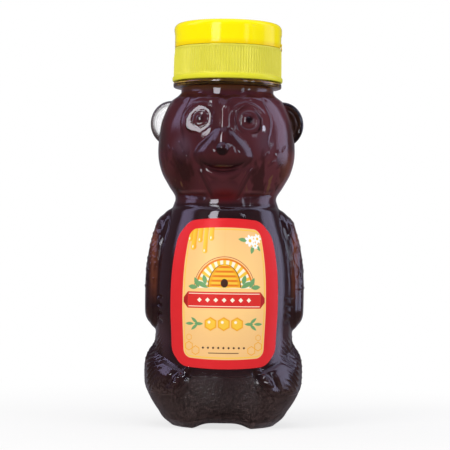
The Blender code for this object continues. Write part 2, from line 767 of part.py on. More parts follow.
def main():
    for old in list(bpy.data.objects):
        bpy.data.objects.remove(old)
    parts = new_collection("Honey bear")
    cutters = new_collection("Cutters")

    clear = material("clear_plastic", (0.86, 0.84, 0.86), 0.08, transmission=0.9)
    honey = material("dark_honey", (0.05, 0.016, 0.013), 0.15)
    paper = material("label_film", (0.74, 0.03, 0.025), 0.4)
    foil = material("foil", (0.8, 0.8, 0.8), 0.35, metallic=0.9)
    ribbed = material("cap_yellow", (0.74, 0.69, 0.09), 0.4)
    glossy = material("lid_yellow", (0.91, 0.72, 0.01), 0.25)

    make_bottle(parts, cutters, clear)
    make_honey(parts, honey)
    make_label(parts, cutters, paper)
    make_seal(parts, foil)
    make_cap_base(parts, cutters, ribbed)
    make_hinge_web(parts, glossy)
    make_lid(parts, cutters, glossy)


main()
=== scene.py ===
from math import cos, hypot, pi, radians, sin, sqrt, tau

import bmesh
import bpy
import numpy as np
from mathutils import Matrix, Vector


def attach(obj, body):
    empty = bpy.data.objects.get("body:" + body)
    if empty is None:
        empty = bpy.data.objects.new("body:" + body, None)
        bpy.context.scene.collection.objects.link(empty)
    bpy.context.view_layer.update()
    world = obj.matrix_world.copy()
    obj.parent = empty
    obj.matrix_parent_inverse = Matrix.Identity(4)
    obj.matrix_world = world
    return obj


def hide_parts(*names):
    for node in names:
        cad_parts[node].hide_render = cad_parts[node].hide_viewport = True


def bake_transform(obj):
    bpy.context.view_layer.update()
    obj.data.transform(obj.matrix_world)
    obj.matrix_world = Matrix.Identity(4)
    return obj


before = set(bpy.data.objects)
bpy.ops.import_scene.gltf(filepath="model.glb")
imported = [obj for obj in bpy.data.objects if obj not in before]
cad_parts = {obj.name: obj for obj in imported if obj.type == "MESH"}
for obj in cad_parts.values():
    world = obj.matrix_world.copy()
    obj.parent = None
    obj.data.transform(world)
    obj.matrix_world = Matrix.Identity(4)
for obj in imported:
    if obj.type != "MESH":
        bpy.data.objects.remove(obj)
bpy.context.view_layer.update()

# Bear: the same sizes as in part.py
WAIST_HEIGHT = 0.0855
BODY_HEIGHT = 0.1254
TORSO_HALF_WIDTH = 0.0264
TORSO_HALF_DEPTH = 0.026
WAIST_RADIUS = 0.0191
HEAD_HALF_WIDTH = 0.0258
HEAD_HALF_DEPTH = 0.0226
BODY_WALL = 0.0009
TORSO_SHARES = [
    (0.000, 0.735, 0.808, 0.808),
    (0.035, 0.870, 0.896, 0.904),
    (0.094, 0.962, 0.946, 0.962),
    (0.187, 0.998, 0.969, 0.992),
    (0.281, 1.000, 0.973, 1.000),
    (0.398, 0.977, 0.977, 0.992),
    (0.526, 0.992, 0.977, 0.969),
    (0.667, 0.985, 0.958, 0.923),
    (0.772, 0.943, 0.915, 0.869),
    (0.865, 0.867, 0.842, 0.792),
    (0.936, 0.795, 0.762, 0.723),
]
WAIST_SHARES = (1.0, 0.955, 0.935)
HEAD_SHARES = [
    (0.113, 0.837, 0.850, 0.858),
    (0.238, 0.942, 0.898, 0.947),
    (0.388, 1.000, 0.929, 1.000),
    (0.564, 0.996, 0.929, 1.000),
    (0.714, 0.965, 0.903, 0.960),
    (0.840, 0.891, 0.850, 0.885),
    (0.925, 0.806, 0.805, 0.823),
    (0.970, 0.721, 0.783, 0.788),
]
PUSH_UP_HEIGHT = 0.0026
GIRTH_RADIUS = TORSO_HALF_WIDTH
GIRTH_STEP = 0.4608  # millimetres round the girth for each degree
EAR_RADIUS = 0.0084
EAR_HALF_DEPTH = 0.0014
EAR_SIDE, EAR_BACK, EAR_HEIGHT = 0.0211, 0.002, 0.114
EAR_TURN = radians(9)

# Each limb: the turn, height and reach of its top, the same of its end, and how far it stands out
ARM = (radians(88), 0.0735, 0.0085, radians(91), 0.0445, 0.009, 0.0038)
LEG = (radians(96), 0.020, 0.012, radians(43), 0.0165, 0.0065, 0.0032)

# The arch between the feet, wider than in part.py
ARCH_HEIGHT = 0.0023
ARCH_HALF_WIDTH = 0.0112
ARCH_FADE_HEIGHT = 0.009

# The curve from under the thighs down to the foot, and the height where the collar parts head and body
FOOT_CURVE_LOW = 0.0012
FOOT_CURVE_HIGH = 0.0165
FOOT_CURVE_RISE = 0.0153
FOOT_CURVE_POWER = 1.65
COLLAR_HEIGHT = 0.0815

# The muzzle in the smooth inner wall
MUZZLE_HEIGHT = 0.1018
MUZZLE_HALF_WIDTH = 0.0125
MUZZLE_HALF_HEIGHT = 0.0088
MUZZLE_RELIEF = 0.0030

# Neck, cap and lid: the same sizes as in part.py
NECK_RADIUS = 0.0175
BORE_RADIUS = 0.0162
THREAD_PITCH = 0.004233
THREAD_START_HEIGHT = 0.1324
THREAD_TURNS = 1.25
CAP_BORE_RADIUS = 0.0192
CAP_THREAD_TURNS = 1.1
LID_RADIUS = 0.0204
LID_TOP = 0.1516
LID_ROUNDING = 0.0023
HINGE_RADIUS = 0.02045

# Half the width of the recess for the living hinge, and the hinge film's half width, foot and top
HINGE_HALF_WIDTH = 0.0043
FILM_HALF_WIDTH = 0.00395
FILM_FOOT = 0.1420
FILM_TOP = 0.1440

# Mesh fineness
SKIN_COLUMNS = 420
SKIN_ROWS = 330
FRONT_CROWDING = 0.4
RIB_COUNT = 120
RIB_STEPS = 8

# Strokes are drawn in millimetres: this many for each degree of turn
STROKE_SCALE = 0.4

# Locks on each cheek: turn, height and lean
CHEEK_LOCKS = (
    (40, 100.6, 3.5), (44.5, 104, 3.0), (46, 97.6, 4.5), (52, 101.5, 3.4), (56, 96.8, 4.8), (60, 103.2, 2.4),
)

# The face looks a little to its own right. Its eyes are placed in degrees and millimetres
FACE_TURN = radians(-2.4)
EYE_TURN = 24.9
EYE_HEIGHT = 114.6
EYE_RISE = radians(12)


def smooth(start, end, value):
    """Rises from 0 at the start to 1 at the end."""
    share = np.clip((value - start) / (end - start), 0, 1)
    return share * share * (3 - 2 * share)


def bump(share):
    """A round bump: 1 in the middle and 0 from a share of 1 outwards, on both sides."""
    return (1 - np.clip(np.abs(share), 0, 1) ** 2) ** 2


def plateau(share):
    """A flat-topped swelling."""
    return (1 - np.clip(np.abs(share), 0, 1) ** 4) ** 2


def stations():
    """Levels of the skin from the foot to the neck: height, half width, front depth and back depth."""
    torso = [
        (h * WAIST_HEIGHT, s * TORSO_HALF_WIDTH, f * TORSO_HALF_DEPTH, b * TORSO_HALF_DEPTH)
        for h, s, f, b in TORSO_SHARES
    ]
    waist = [(WAIST_HEIGHT, *(share * WAIST_RADIUS for share in WAIST_SHARES))]
    rise = BODY_HEIGHT - WAIST_HEIGHT
    head = [
        (WAIST_HEIGHT + h * rise, s * HEAD_HALF_WIDTH, f * HEAD_HALF_DEPTH, b * HEAD_HALF_DEPTH)
        for h, s, f, b in HEAD_SHARES
    ]
    return np.array(torso + waist + head + [(BODY_HEIGHT, NECK_RADIUS, NECK_RADIUS, NECK_RADIUS)])


STATIONS = stations()
LEVELS = STATIONS[:, 0]
AHEAD = np.minimum(np.arange(len(LEVELS)) + 1, len(LEVELS) - 1)
BEHIND = np.maximum(np.arange(len(LEVELS)) - 1, 0)
SLOPES = (STATIONS[AHEAD] - STATIONS[BEHIND]) / (LEVELS[AHEAD] - LEVELS[BEHIND])[:, None]


def measures_at(height):
    """Half width, front depth and back depth at each height."""
    index = np.clip(np.searchsorted(LEVELS, height, side="right") - 1, 0, len(LEVELS) - 2)
    span = LEVELS[index + 1] - LEVELS[index]
    share = np.clip((height - LEVELS[index]) / span, 0, 1)
    rest = 1 - share
    measures = []
    for column in (1, 2, 3):
        low, high = STATIONS[index, column], STATIONS[index + 1, column]
        low_slope, high_slope = SLOPES[index, column], SLOPES[index + 1, column]
        measures.append(
            rest * rest * ((1 + 2 * share) * low + share * span * low_slope)
            + share * share * ((1 + 2 * rest) * high - rest * span * high_slope)
        )
    return measures


def limb_share(limb, around, height):
    """Distance from a limb's middle line as a share of its reach there."""
    top_angle, top_height, top_reach, end_angle, end_height, end_reach, _ = limb
    run = np.array(((end_angle - top_angle) * GIRTH_RADIUS, end_height - top_height))
    side = around - top_angle * GIRTH_RADIUS
    rise = height - top_height
    along = np.clip((side * run[0] + rise * run[1]) / run.dot(run), 0, 1)
    reach = top_reach + (end_reach - top_reach) * along
    return np.hypot(side - run[0] * along, rise - run[1] * along) / reach


def limbed_radius(turn, height):
    """The bear's skin with its limbs."""
    half_width, front, back = measures_at(height)
    depth = np.where(np.cos(turn) > 0, front, back)
    radius = 1 / np.hypot(np.sin(turn) / half_width, np.cos(turn) / depth)
    around = np.abs(turn) * GIRTH_RADIUS
    for limb in (ARM, LEG):
        radius = radius + limb[-1] * plateau(limb_share(limb, around, height))
    return radius


def base_radius(turn, height):
    """The bear's skin without its face and fine relief, in one curve from under the thighs to the foot."""
    radius = limbed_radius(turn, height)
    low = limbed_radius(turn, np.full_like(height, FOOT_CURVE_LOW))
    high = limbed_radius(turn, np.full_like(height, FOOT_CURVE_HIGH))
    share = np.clip((height - FOOT_CURVE_LOW) / FOOT_CURVE_RISE, 0, 1)
    curve = low + (high - low) * (1 - (1 - share) ** FOOT_CURVE_POWER)
    around = np.abs(turn) * GIRTH_RADIUS
    under_thigh = smooth(0.012, 0.020, around) * (1 - smooth(0.056, 0.068, around))
    inside = (height > FOOT_CURVE_LOW) * (height < FOOT_CURVE_HIGH)
    return radius + np.maximum(curve - radius, 0) * under_thigh * inside


def strokes(turn, height, marks):
    """Raised strokes. Each mark has two ends in degrees and millimetres, a half width and a height."""
    relief = np.zeros_like(turn)
    for start_turn, start, end_turn, end, half_width, rise in marks:
        side = half_width / STROKE_SCALE
        turns = np.radians([min(start_turn, end_turn) - side, max(start_turn, end_turn) + side])
        heights = np.array([min(start, end) - half_width, max(start, end) + half_width]) / 1000
        cols = slice(*np.searchsorted(turn[0], turns))
        rows = slice(*np.searchsorted(height[:, 0], heights))
        left = start_turn * STROKE_SCALE
        x = np.degrees(turn[rows, cols]) * STROKE_SCALE - left
        z = height[rows, cols] * 1000 - start
        across, up = end_turn * STROKE_SCALE - left, end - start
        along = np.clip((x * across + z * up) / (across**2 + up**2), 0, 1)
        relief[rows, cols] += rise * bump(np.hypot(x - across * along, z - up * along) / half_width)
    return relief / 1000


def fur_marks():
    """Short curved locks on the arms, cheeks and back of the head."""
    marks = []
    for side in (-1, 1):
        for row in range(11):
            for column in range(7):
                middle = 74 + 5.6 * column + 2.8 * (row % 2)
                low = 53.5 + 2.35 * row
                lean = 2.4 * sin(1.7 * row + 2.3 * column)
                reach = 1 if 55 < low < 77 else 0.6
                rise = 0.14 if abs(middle - 91) < 7 else 0.22
                bend, bend_height = middle + lean, low + 2.1 * reach
                marks.append((side * middle, low, side * bend, bend_height, 0.5, rise))
                marks.append((side * bend, bend_height, side * (bend + 2), low + 2.8 * reach, 0.45, rise))
        for middle, low, lean in CHEEK_LOCKS:
            marks.append((side * middle, low, side * (middle + lean), low + 1.7, 0.55, 0.24))
    for row in range(9):
        for column in range(-5, 6):
            middle = 9.5 * column + 4.7 * (row % 2)
            low = 92 + 3.3 * row
            lean = 2.5 * sin(1.3 * row + 2.1 * column)
            for edge in (-180, 180):
                marks.append((edge + middle, low, edge + middle + lean, low + 2.4, 0.6, 0.26))
    return marks


def face_relief(turn, height):
    """Muzzle, nose, mouth, eyes, brows and folds of the head, in metres."""
    z = height * 1000
    face = np.degrees(turn - FACE_TURN)
    straight = np.degrees(turn)
    aside = np.abs(straight)
    front = smooth(0.1, 0.5, np.cos(turn))
    ahead = np.cos(turn) > 0

    # Muzzle: a rounded triangle, with a firm lower edge over the mouth
    half_width = 31.5 * (1 - 0.40 * smooth(99.5, 112.5, z))
    tall = np.where(z > 101.3, 10.2, 6.6)
    share = np.hypot(face / half_width, (z - 101.3) / tall)
    muzzle = (1 - np.clip(share, 0, 1) ** 2.4) ** 1.4
    relief = 3.9 * muzzle
    relief += 0.55 * bump(np.hypot(face / 9, (z - 106.5) / 6))

    # Nose knob
    nose = np.hypot(face * 0.46, z - 103.2) / 2.35
    relief += 1.15 * (1 - np.clip(nose, 0, 1) ** 2.2) ** 1.2

    # Mouth: a groove under the muzzle, a full lower lip and the chin
    lip_share = np.clip(np.abs(face) / 23, 0, 1)
    groove = 95.2 + 3.2 * lip_share**2
    relief -= 0.5 * bump((z - groove) / 1.1) * (1 - lip_share**4)
    lip = 93.0 + 4.2 * lip_share**2
    relief += 0.6 * bump((z - lip) / (2.7 - 1.2 * lip_share)) * (1 - lip_share**3)
    relief += 0.5 * plateau(np.hypot(face / 19, (z - 89.2) / 3.6)) * front

    # Bib: a wedge between two folds that run from the mouth's corners to the collar
    edge = 12.6 + (z - 84.5) * 1.27
    level = smooth(84.2, 87.5, z) * (1 - smooth(94, 97, z))
    relief += 0.4 * (1 - smooth(-1.8, 2.2, aside - edge)) * level * front * (1 - muzzle)
    relief += 0.4 * bump((aside - edge) / 3.6) * level * front

    # Eyes: a flat plate that faces more to the front than the cheek, a domed iris in a groove, and a pupil
    eye_x = (np.abs(face) - EYE_TURN) * 0.39
    eye = np.hypot(eye_x, z - np.where(face > 0, 114.0, EYE_HEIGHT)) * np.where(ahead, 1, 9)
    skin = base_radius(turn, height) * 1000
    for side in (-1, 1):
        middle = FACE_TURN + side * radians(EYE_TURN)
        facing = FACE_TURN + side * radians(9.6)
        depth = base_radius(np.array([middle]), np.array([EYE_HEIGHT / 1000]))[0] * 1000 - 0.42
        flat = depth * np.cos(middle - facing) * cos(EYE_RISE) - (z - EYE_HEIGHT) * sin(EYE_RISE)
        flat = flat / (np.cos(np.clip(turn - facing, -1, 1)) * cos(EYE_RISE)) - skin
        corner = (np.abs(eye_x / 1.08) ** 3 + np.abs((z - 114.4) / 0.97) ** 3) ** (1 / 3)
        reach = np.where((eye_x > 0) & (z < 115), corner, eye)
        plate = (1 - smooth(4.75, 5.35, reach)) * (np.sign(face) == side) * ahead
        relief += plate * (np.clip(flat, -0.75, 1.3) - relief)
    relief += 0.38 * (1 - np.clip(eye / 2.85, 0, 1) ** 2) - 0.22 * bump((eye - 3.05) / 0.42)
    relief += 0.3 * (1 - smooth(1.1, 1.5, eye)) * (1 - (np.minimum(eye, 1.5) / 1.9) ** 2)

    # Bridge of the nose
    relief += 1.3 * bump(face / 14) * smooth(106, 111, z) * (1 - smooth(119, 124, z)) * front

    # Two thin folds between the eyes, which spread under the hairline
    spread = 5.5 * smooth(116.5, 123.5, z)
    level = smooth(110.5, 113, z) * (1 - smooth(122.5, 124, z))
    relief += 0.14 * bump((np.abs(face + 0.4) - spread) / 2.3) * level

    # Temples: soft edges of the face plate, and short locks under the neck
    temple = 44.6 + 2.1 * np.sin((z - 110) * 0.35)
    level = smooth(99, 113, z) * (1 - smooth(121.5, 123.5, z))
    relief += 0.4 * smooth(-2.5, 0.6, temple - aside) * level * front
    scallops = np.abs(np.sin(np.radians(straight) * 9)) ** 1.6
    relief += 0.34 * scallops * bump((z - 122.6) / 1.5) * smooth(-0.5, 0.4, np.cos(turn))

    # Brow arches over the eyes
    arch = np.hypot(eye_x * 0.9, z - 113.8)
    relief += 0.3 * bump((arch - 6.6) / 1.0) * smooth(115, 119, z) * ahead

    # Folds at the foot of the head
    for side in (-1, 1):
        ends = ((side * 25.5, 85.8), (side * 62, 87.4))
        along = np.clip((straight - ends[0][0]) / (ends[1][0] - ends[0][0]), 0, 1)
        middle = ends[0][1] + (ends[1][1] - ends[0][1]) * along
        past = np.maximum(np.abs(straight - (ends[0][0] + ends[1][0]) / 2) - 17, 0) * 0.3
        away = np.hypot(past, z - middle)
        relief -= 0.45 * bump(away / 1.6)
    return relief / 1000


def body_relief(turn, height):
    """Finger and toe grooves, thigh fur, tail and the mould's parting line, in metres."""
    z = height * 1000
    angle = np.degrees(turn)
    side = np.abs(angle)
    around = side * GIRTH_STEP
    relief = np.zeros_like(z)

    # Arms: a firm inner edge, a bare paw and its fingers
    arm = limb_share(ARM, np.abs(turn) * GIRTH_RADIUS, height)
    relief += 0.55 * bump((arm - 0.86) / 0.16) * (1 - smooth(84, 98, side))
    for finger in (48.4, 45.3, 42.2, 39.4):
        level = bump((z - finger - 0.05 * (side - 68)) / 0.8)
        relief -= 0.65 * level * bump((side - 68) / 9)
    relief += 0.3 * bump((z - 52.2) / 0.7) * bump((side - 88) / 21)

    # Legs: a rolled edge, soles that face the front, and toes
    leg = limb_share(LEG, np.abs(turn) * GIRTH_RADIUS, height)
    relief += 0.6 * bump((leg - 0.84) / 0.2) * (1 - smooth(52, 78, side)) * smooth(15, 18, z)
    down = np.clip((22.6 - z) / 8.2, 0, 1)
    sole = (side - 30.5 - 9.5 * down) * 0.43
    relief += 0.95 * bump(sole / 1.7) * bump((z - 18.5) / 6.4)
    relief -= 0.8 * bump((sole - 2.9) / 2.0) * bump((z - 18.3) / 5)
    relief -= 0.5 * bump((sole + 2.3) / 1.3) * bump((z - 18) / 7)
    for toe in (20.9, 18.2, 15.5):
        relief -= 0.5 * bump((z - toe) / 0.75) * bump(sole / 2.1)

    # Thigh fur: wavy combed grooves
    combed = np.sin(tau * ((z * 0.86 + around * 0.5) / 1.9 + 0.22 * np.sin(around / 1.6)))
    patch = bump((side - 84) / 34) * bump((z - 23) / 13)
    relief += 0.3 * combed * np.minimum(patch * 3, 1)

    # Tail and the fur of the back
    tail = np.hypot((180 - side) * 0.46, z - 17) / 6
    relief += 2.6 * (1 - np.clip(tail, 0, 1) ** 2.5) ** 1.2 * (side > 90)
    back = bump((180 - side) / 52) * bump((z - 52) / 26)
    waves = np.sin(tau * ((z - 0.1 * (180 - side)) / 3.1 + 0.3 * np.sin((180 - side) * 0.21)))
    relief += 0.16 * waves * back

    # A soft roll, the collar's groove over it, and the parting line through the sides
    relief += 0.3 * bump((z - 79.9) / 1.9) * bump(angle / 36)
    relief -= 0.35 * bump((z - 82.3) / 1.3) * smooth(-0.3, 0.5, np.cos(turn))
    relief += 0.14 * bump((side - 90) / 0.55)
    return relief / 1000


def relieved(radius, turn, height, fur=1.0):
    """A radius with the relief of the face and the body, and with a share of the fur's."""
    radius = radius + face_relief(turn, height) * smooth(COLLAR_HEIGHT, 0.084, height)
    radius = radius + body_relief(turn, height) * smooth(0.086, 0.083, height)
    return radius + strokes(turn, height, fur_marks()) * fur


def skin_points(turns, heights, detail=True):
    """The skin as a grid of points: one row for each height, one column for each turn from the face."""
    turn, height = np.meshgrid(turns, heights)
    radius = base_radius(turn, height)
    if detail:
        return placed(relieved(radius, turn, height), turn, height)
    across = (turn - FACE_TURN) * GIRTH_RADIUS / MUZZLE_HALF_WIDTH
    muzzle = np.hypot(across, (height - MUZZLE_HEIGHT) / MUZZLE_HALF_HEIGHT)
    return placed(radius + MUZZLE_RELIEF * plateau(muzzle), turn, height)


def placed(radius, turn, height):
    """Points from radii, with the arch between the feet."""
    side = radius * np.sin(turn)
    arch = plateau(np.abs(side) / ARCH_HALF_WIDTH) * (np.cos(turn) > 0)
    lift = ARCH_HEIGHT * arch * np.clip(1 - height / ARCH_FADE_HEIGHT, 0, None)
    return np.stack((side, -radius * np.cos(turn), height + lift), axis=-1)


def grid_normals(points):
    """Outward directions of a grid whose columns run round the axis and whose rows rise."""
    across = np.roll(points, -1, axis=1) - np.roll(points, 1, axis=1)
    up = np.gradient(points, axis=0)
    normals = np.cross(across, up)
    return normals / np.linalg.norm(normals, axis=2, keepdims=True)


def ring(radius, height, turns):
    """A round ring of points, in step with the skin's columns."""
    level = np.full_like(turns, 1) * height
    return np.stack((radius * np.sin(turns), -radius * np.cos(turns), level), axis=-1)


def ring_run(turns, places):
    """Round rings from pairs of radius and height."""
    return [ring(radius, height, turns) for radius, height in places]


def columns(count, crowding=0.0):
    """Turns from the face, which the crowding brings closer together at the front."""
    even = np.linspace(-pi, pi, count, endpoint=False)
    return even - crowding * np.sin(even)


def linked(name, data):
    """A new object in the scene."""
    made = bpy.data.objects.new(name, data)
    bpy.context.scene.collection.objects.link(made)
    return made


def linked_form(name, form):
    """A new object in the scene from a bmesh, which is freed."""
    mesh = bpy.data.meshes.new(name)
    form.to_mesh(mesh)
    form.free()
    return linked(name, mesh)


def solid_from_rings(name, rings):
    """A closed mesh through rings of equal length, from the bottom's outer side round to its inner side."""
    points = np.array(rings)
    count = points.shape[1]
    vertices = points.reshape(-1, 3)
    base = np.arange(count)
    following = (base + 1) % count
    faces = []
    for level in range(len(points) - 1):
        low, high = level * count, (level + 1) * count
        faces.append(np.stack((low + base, low + following, high + following, high + base), axis=-1))
    first, last = len(vertices), len(vertices) + 1
    ends = np.array((points[0].mean(axis=0), points[-1].mean(axis=0)))
    top = (len(points) - 1) * count
    fans = [(first, int(b), int(a)) for a, b in zip(base, following)]
    fans += [(last, int(top + a), int(top + b)) for a, b in zip(base, following)]
    mesh = bpy.data.meshes.new(name)
    mesh.from_pydata(np.concatenate((vertices, ends)).tolist(), [], np.concatenate(faces).tolist() + fans)
    mesh.validate()
    return linked(name, mesh)


def polished(made, look, angle=50):
    """Gives a piece its material and smooth shading between sharp edges."""
    made.data.materials.append(look)
    made.data.shade_smooth()
    made.data.set_sharp_from_angle(angle=radians(angle))
    return made


# Node materials

class Field:
    """A value in a node tree that takes part in sums."""

    def __init__(self, tree, socket):
        self.tree = tree
        self.socket = socket

    def math(self, operation, *others):
        node = add_node(self.tree, "ShaderNodeMath", *enumerate((self, *others)), operation=operation)
        return Field(self.tree, node.outputs[0])

    def __add__(self, other):
        return self.math("ADD", other)

    def __sub__(self, other):
        return self.math("SUBTRACT", other)

    def __mul__(self, other):
        return self.math("MULTIPLY", other)

    def __truediv__(self, other):
        return self.math("DIVIDE", other)

    def abs(self):
        return self.math("ABSOLUTE")

    def below(self, limit, blur=0.08):
        """1 where the value is under the limit, with a soft edge."""
        inputs = enumerate((self, limit - blur, limit + blur, 1.0, 0.0))
        node = add_node(self.tree, "ShaderNodeMapRange", *inputs, interpolation_type="SMOOTHSTEP")
        return Field(self.tree, node.outputs[0])

    def above(self, limit, blur):
        """1 where the value is over the limit, with a soft edge."""
        return self.below(limit, blur) * -1.0 + 1.0

    def near(self, middle, half, blur=0.08):
        """1 where the value is within half of the middle, with a soft edge."""
        return (self - middle).abs().below(half, blur)

    def over(self, limit):
        """1 where the value is over the limit, with a sharp edge."""
        return self.math("GREATER_THAN", limit)


def add_node(tree, kind, *inputs, **settings):
    """A new node, with pairs of a slot and its value, socket or field."""
    node = tree.nodes.new(kind)
    for name, value in settings.items():
        setattr(node, name, value)
    for slot, value in inputs:
        if isinstance(value, Field):
            value = value.socket
        if isinstance(value, bpy.types.NodeSocket):
            tree.links.new(value, node.inputs[slot])
        else:
            node.inputs[slot].default_value = value
    return node


def length(x, z):
    """Distance from the middle."""
    return (x * x + z * z).math("SQRT")


def axes(tree, socket):
    """The three numbers of a vector socket, as fields."""
    return [Field(tree, output) for output in add_node(tree, "ShaderNodeSeparateXYZ", (0, socket)).outputs]


def mix_node(tree, share, first, second):
    """A colour between two colours, given as sockets or as RGB values."""
    first, second = ((*colour, 1.0) if isinstance(colour, tuple) else colour for colour in (first, second))
    return add_node(tree, "ShaderNodeMix", (0, share), (6, first), (7, second), data_type="RGBA").outputs[2]


def ray_kinds(tree):
    """1 for the rays of the camera and through glass, and 1 for the rays that glossy surfaces send out."""
    path = add_node(tree, "ShaderNodeLightPath")
    names = ("Is Camera Ray", "Is Transmission Ray", "Is Glossy Ray")
    camera, through, glossy = (Field(tree, path.outputs[name]) for name in names)
    return camera.math("MAXIMUM", through), glossy


class Look:
    """A Principled material with helpers for its nodes."""

    def __init__(self, name, roughness, **constants):
        self.material = bpy.data.materials.new(name)
        self.material.use_nodes = True
        self.tree = self.material.node_tree
        self.shader = self.tree.nodes["Principled BSDF"]
        self.shader.inputs["Roughness"].default_value = roughness
        for slot, value in constants.items():
            self.shader.inputs[slot.replace("_", " ")].default_value = value
        self.coordinates = add_node(self.tree, "ShaderNodeTexCoord").outputs
        self.tone = None

    def parts(self, source="Object", factor=1000.0):
        """The coordinates as three fields, in millimetres unless another factor is given."""
        return [axis * factor for axis in axes(self.tree, self.coordinates[source])]

    def noise(self, scale, detail=3.0, rough=0.5, stretch=(1, 1, 1)):
        """Noise whose scale is in waves for each metre."""
        place = add_node(
            self.tree, "ShaderNodeMapping", ("Vector", self.coordinates["Object"]), ("Scale", stretch),
        ).outputs[0]
        inputs = (("Vector", place), ("Scale", scale), ("Detail", detail), ("Roughness", rough))
        return Field(self.tree, add_node(self.tree, "ShaderNodeTexNoise", *inputs).outputs["Fac"])

    def attribute(self, name):
        """A number that the mesh carries at its points."""
        node = add_node(self.tree, "ShaderNodeAttribute", attribute_name=name)
        return Field(self.tree, node.outputs["Fac"])

    def mix(self, share, first, second):
        return mix_node(self.tree, share, first, second)

    def paint(self, share, colour):
        """Lays a colour over the tone so far, where the share is 1."""
        self.tone = self.mix(share, self.tone, colour)

    def feed(self, slot, socket):
        self.tree.links.new(socket, self.shader.inputs[slot])

    def colour(self, socket):
        self.feed("Base Color", socket)

    def rough(self, field, low, high):
        node = add_node(self.tree, "ShaderNodeMapRange", (0, field), (3, low), (4, high))
        self.feed("Roughness", node.outputs[0])

    def bump(self, field, distance, strength=1.0):
        inputs = (("Height", field), ("Distance", distance), ("Strength", strength))
        self.feed("Normal", add_node(self.tree, "ShaderNodeBump", *inputs).outputs["Normal"])


def plastic_look():
    """Clear moulded plastic: flow marks, stippled arms, a matt foot, and a ring of the honey's brown."""
    look = Look("clear_plastic_look", 0.04, Transmission_Weight=1.0, IOR=1.54)
    x, y, z = look.parts()
    clear = look.mix(look.noise(60), (0.93, 0.90, 0.92), (0.98, 0.97, 0.98))
    look.colour(look.mix(z.near(128.3, 1.15, 0.15), clear, (0.62, 0.38, 0.07)))
    around = x.math("ARCTAN2", y * -1.0).abs() * (180 / pi)
    foot = (z - (around.above(33.0, 8.0) * -7.0 + 20.0)).below(0.0, 3.0)
    flow = look.noise(150, detail=2, stretch=(1, 1, 0.35))
    grain = look.noise(1300, detail=1) + look.noise(560, detail=2) * 0.9
    sleeve = x.abs().above(24.2, 1.2) * z.near(66.0, 11.0, 3.0)
    look.bump(flow * 0.5 + grain * (foot + sleeve) * 0.5, 0.0004, 0.6)
    look.rough(foot, 0.035, 0.42)
    return look.material


def ear_look():
    """The ears' clear plastic, whose thick rim is painted dark, as painted shade where it bends the light
    away.
    """
    look = Look("ear_plastic_look", 0.04, Transmission_Weight=1.0, IOR=1.54)
    x, _, z = look.parts()
    # Painted shade: the outer rim is painted nearly black.
    rim = length(x.abs() - 20.8, z - 114.25).below(7.2, 0.3)
    clear = look.mix(look.noise(60), (0.93, 0.92, 0.95), (0.98, 0.98, 0.99))
    look.colour(look.mix(rim, (0.045, 0.032, 0.032), clear))
    look.bump(look.noise(110, detail=1), 0.0002, 0.3)
    return look.material


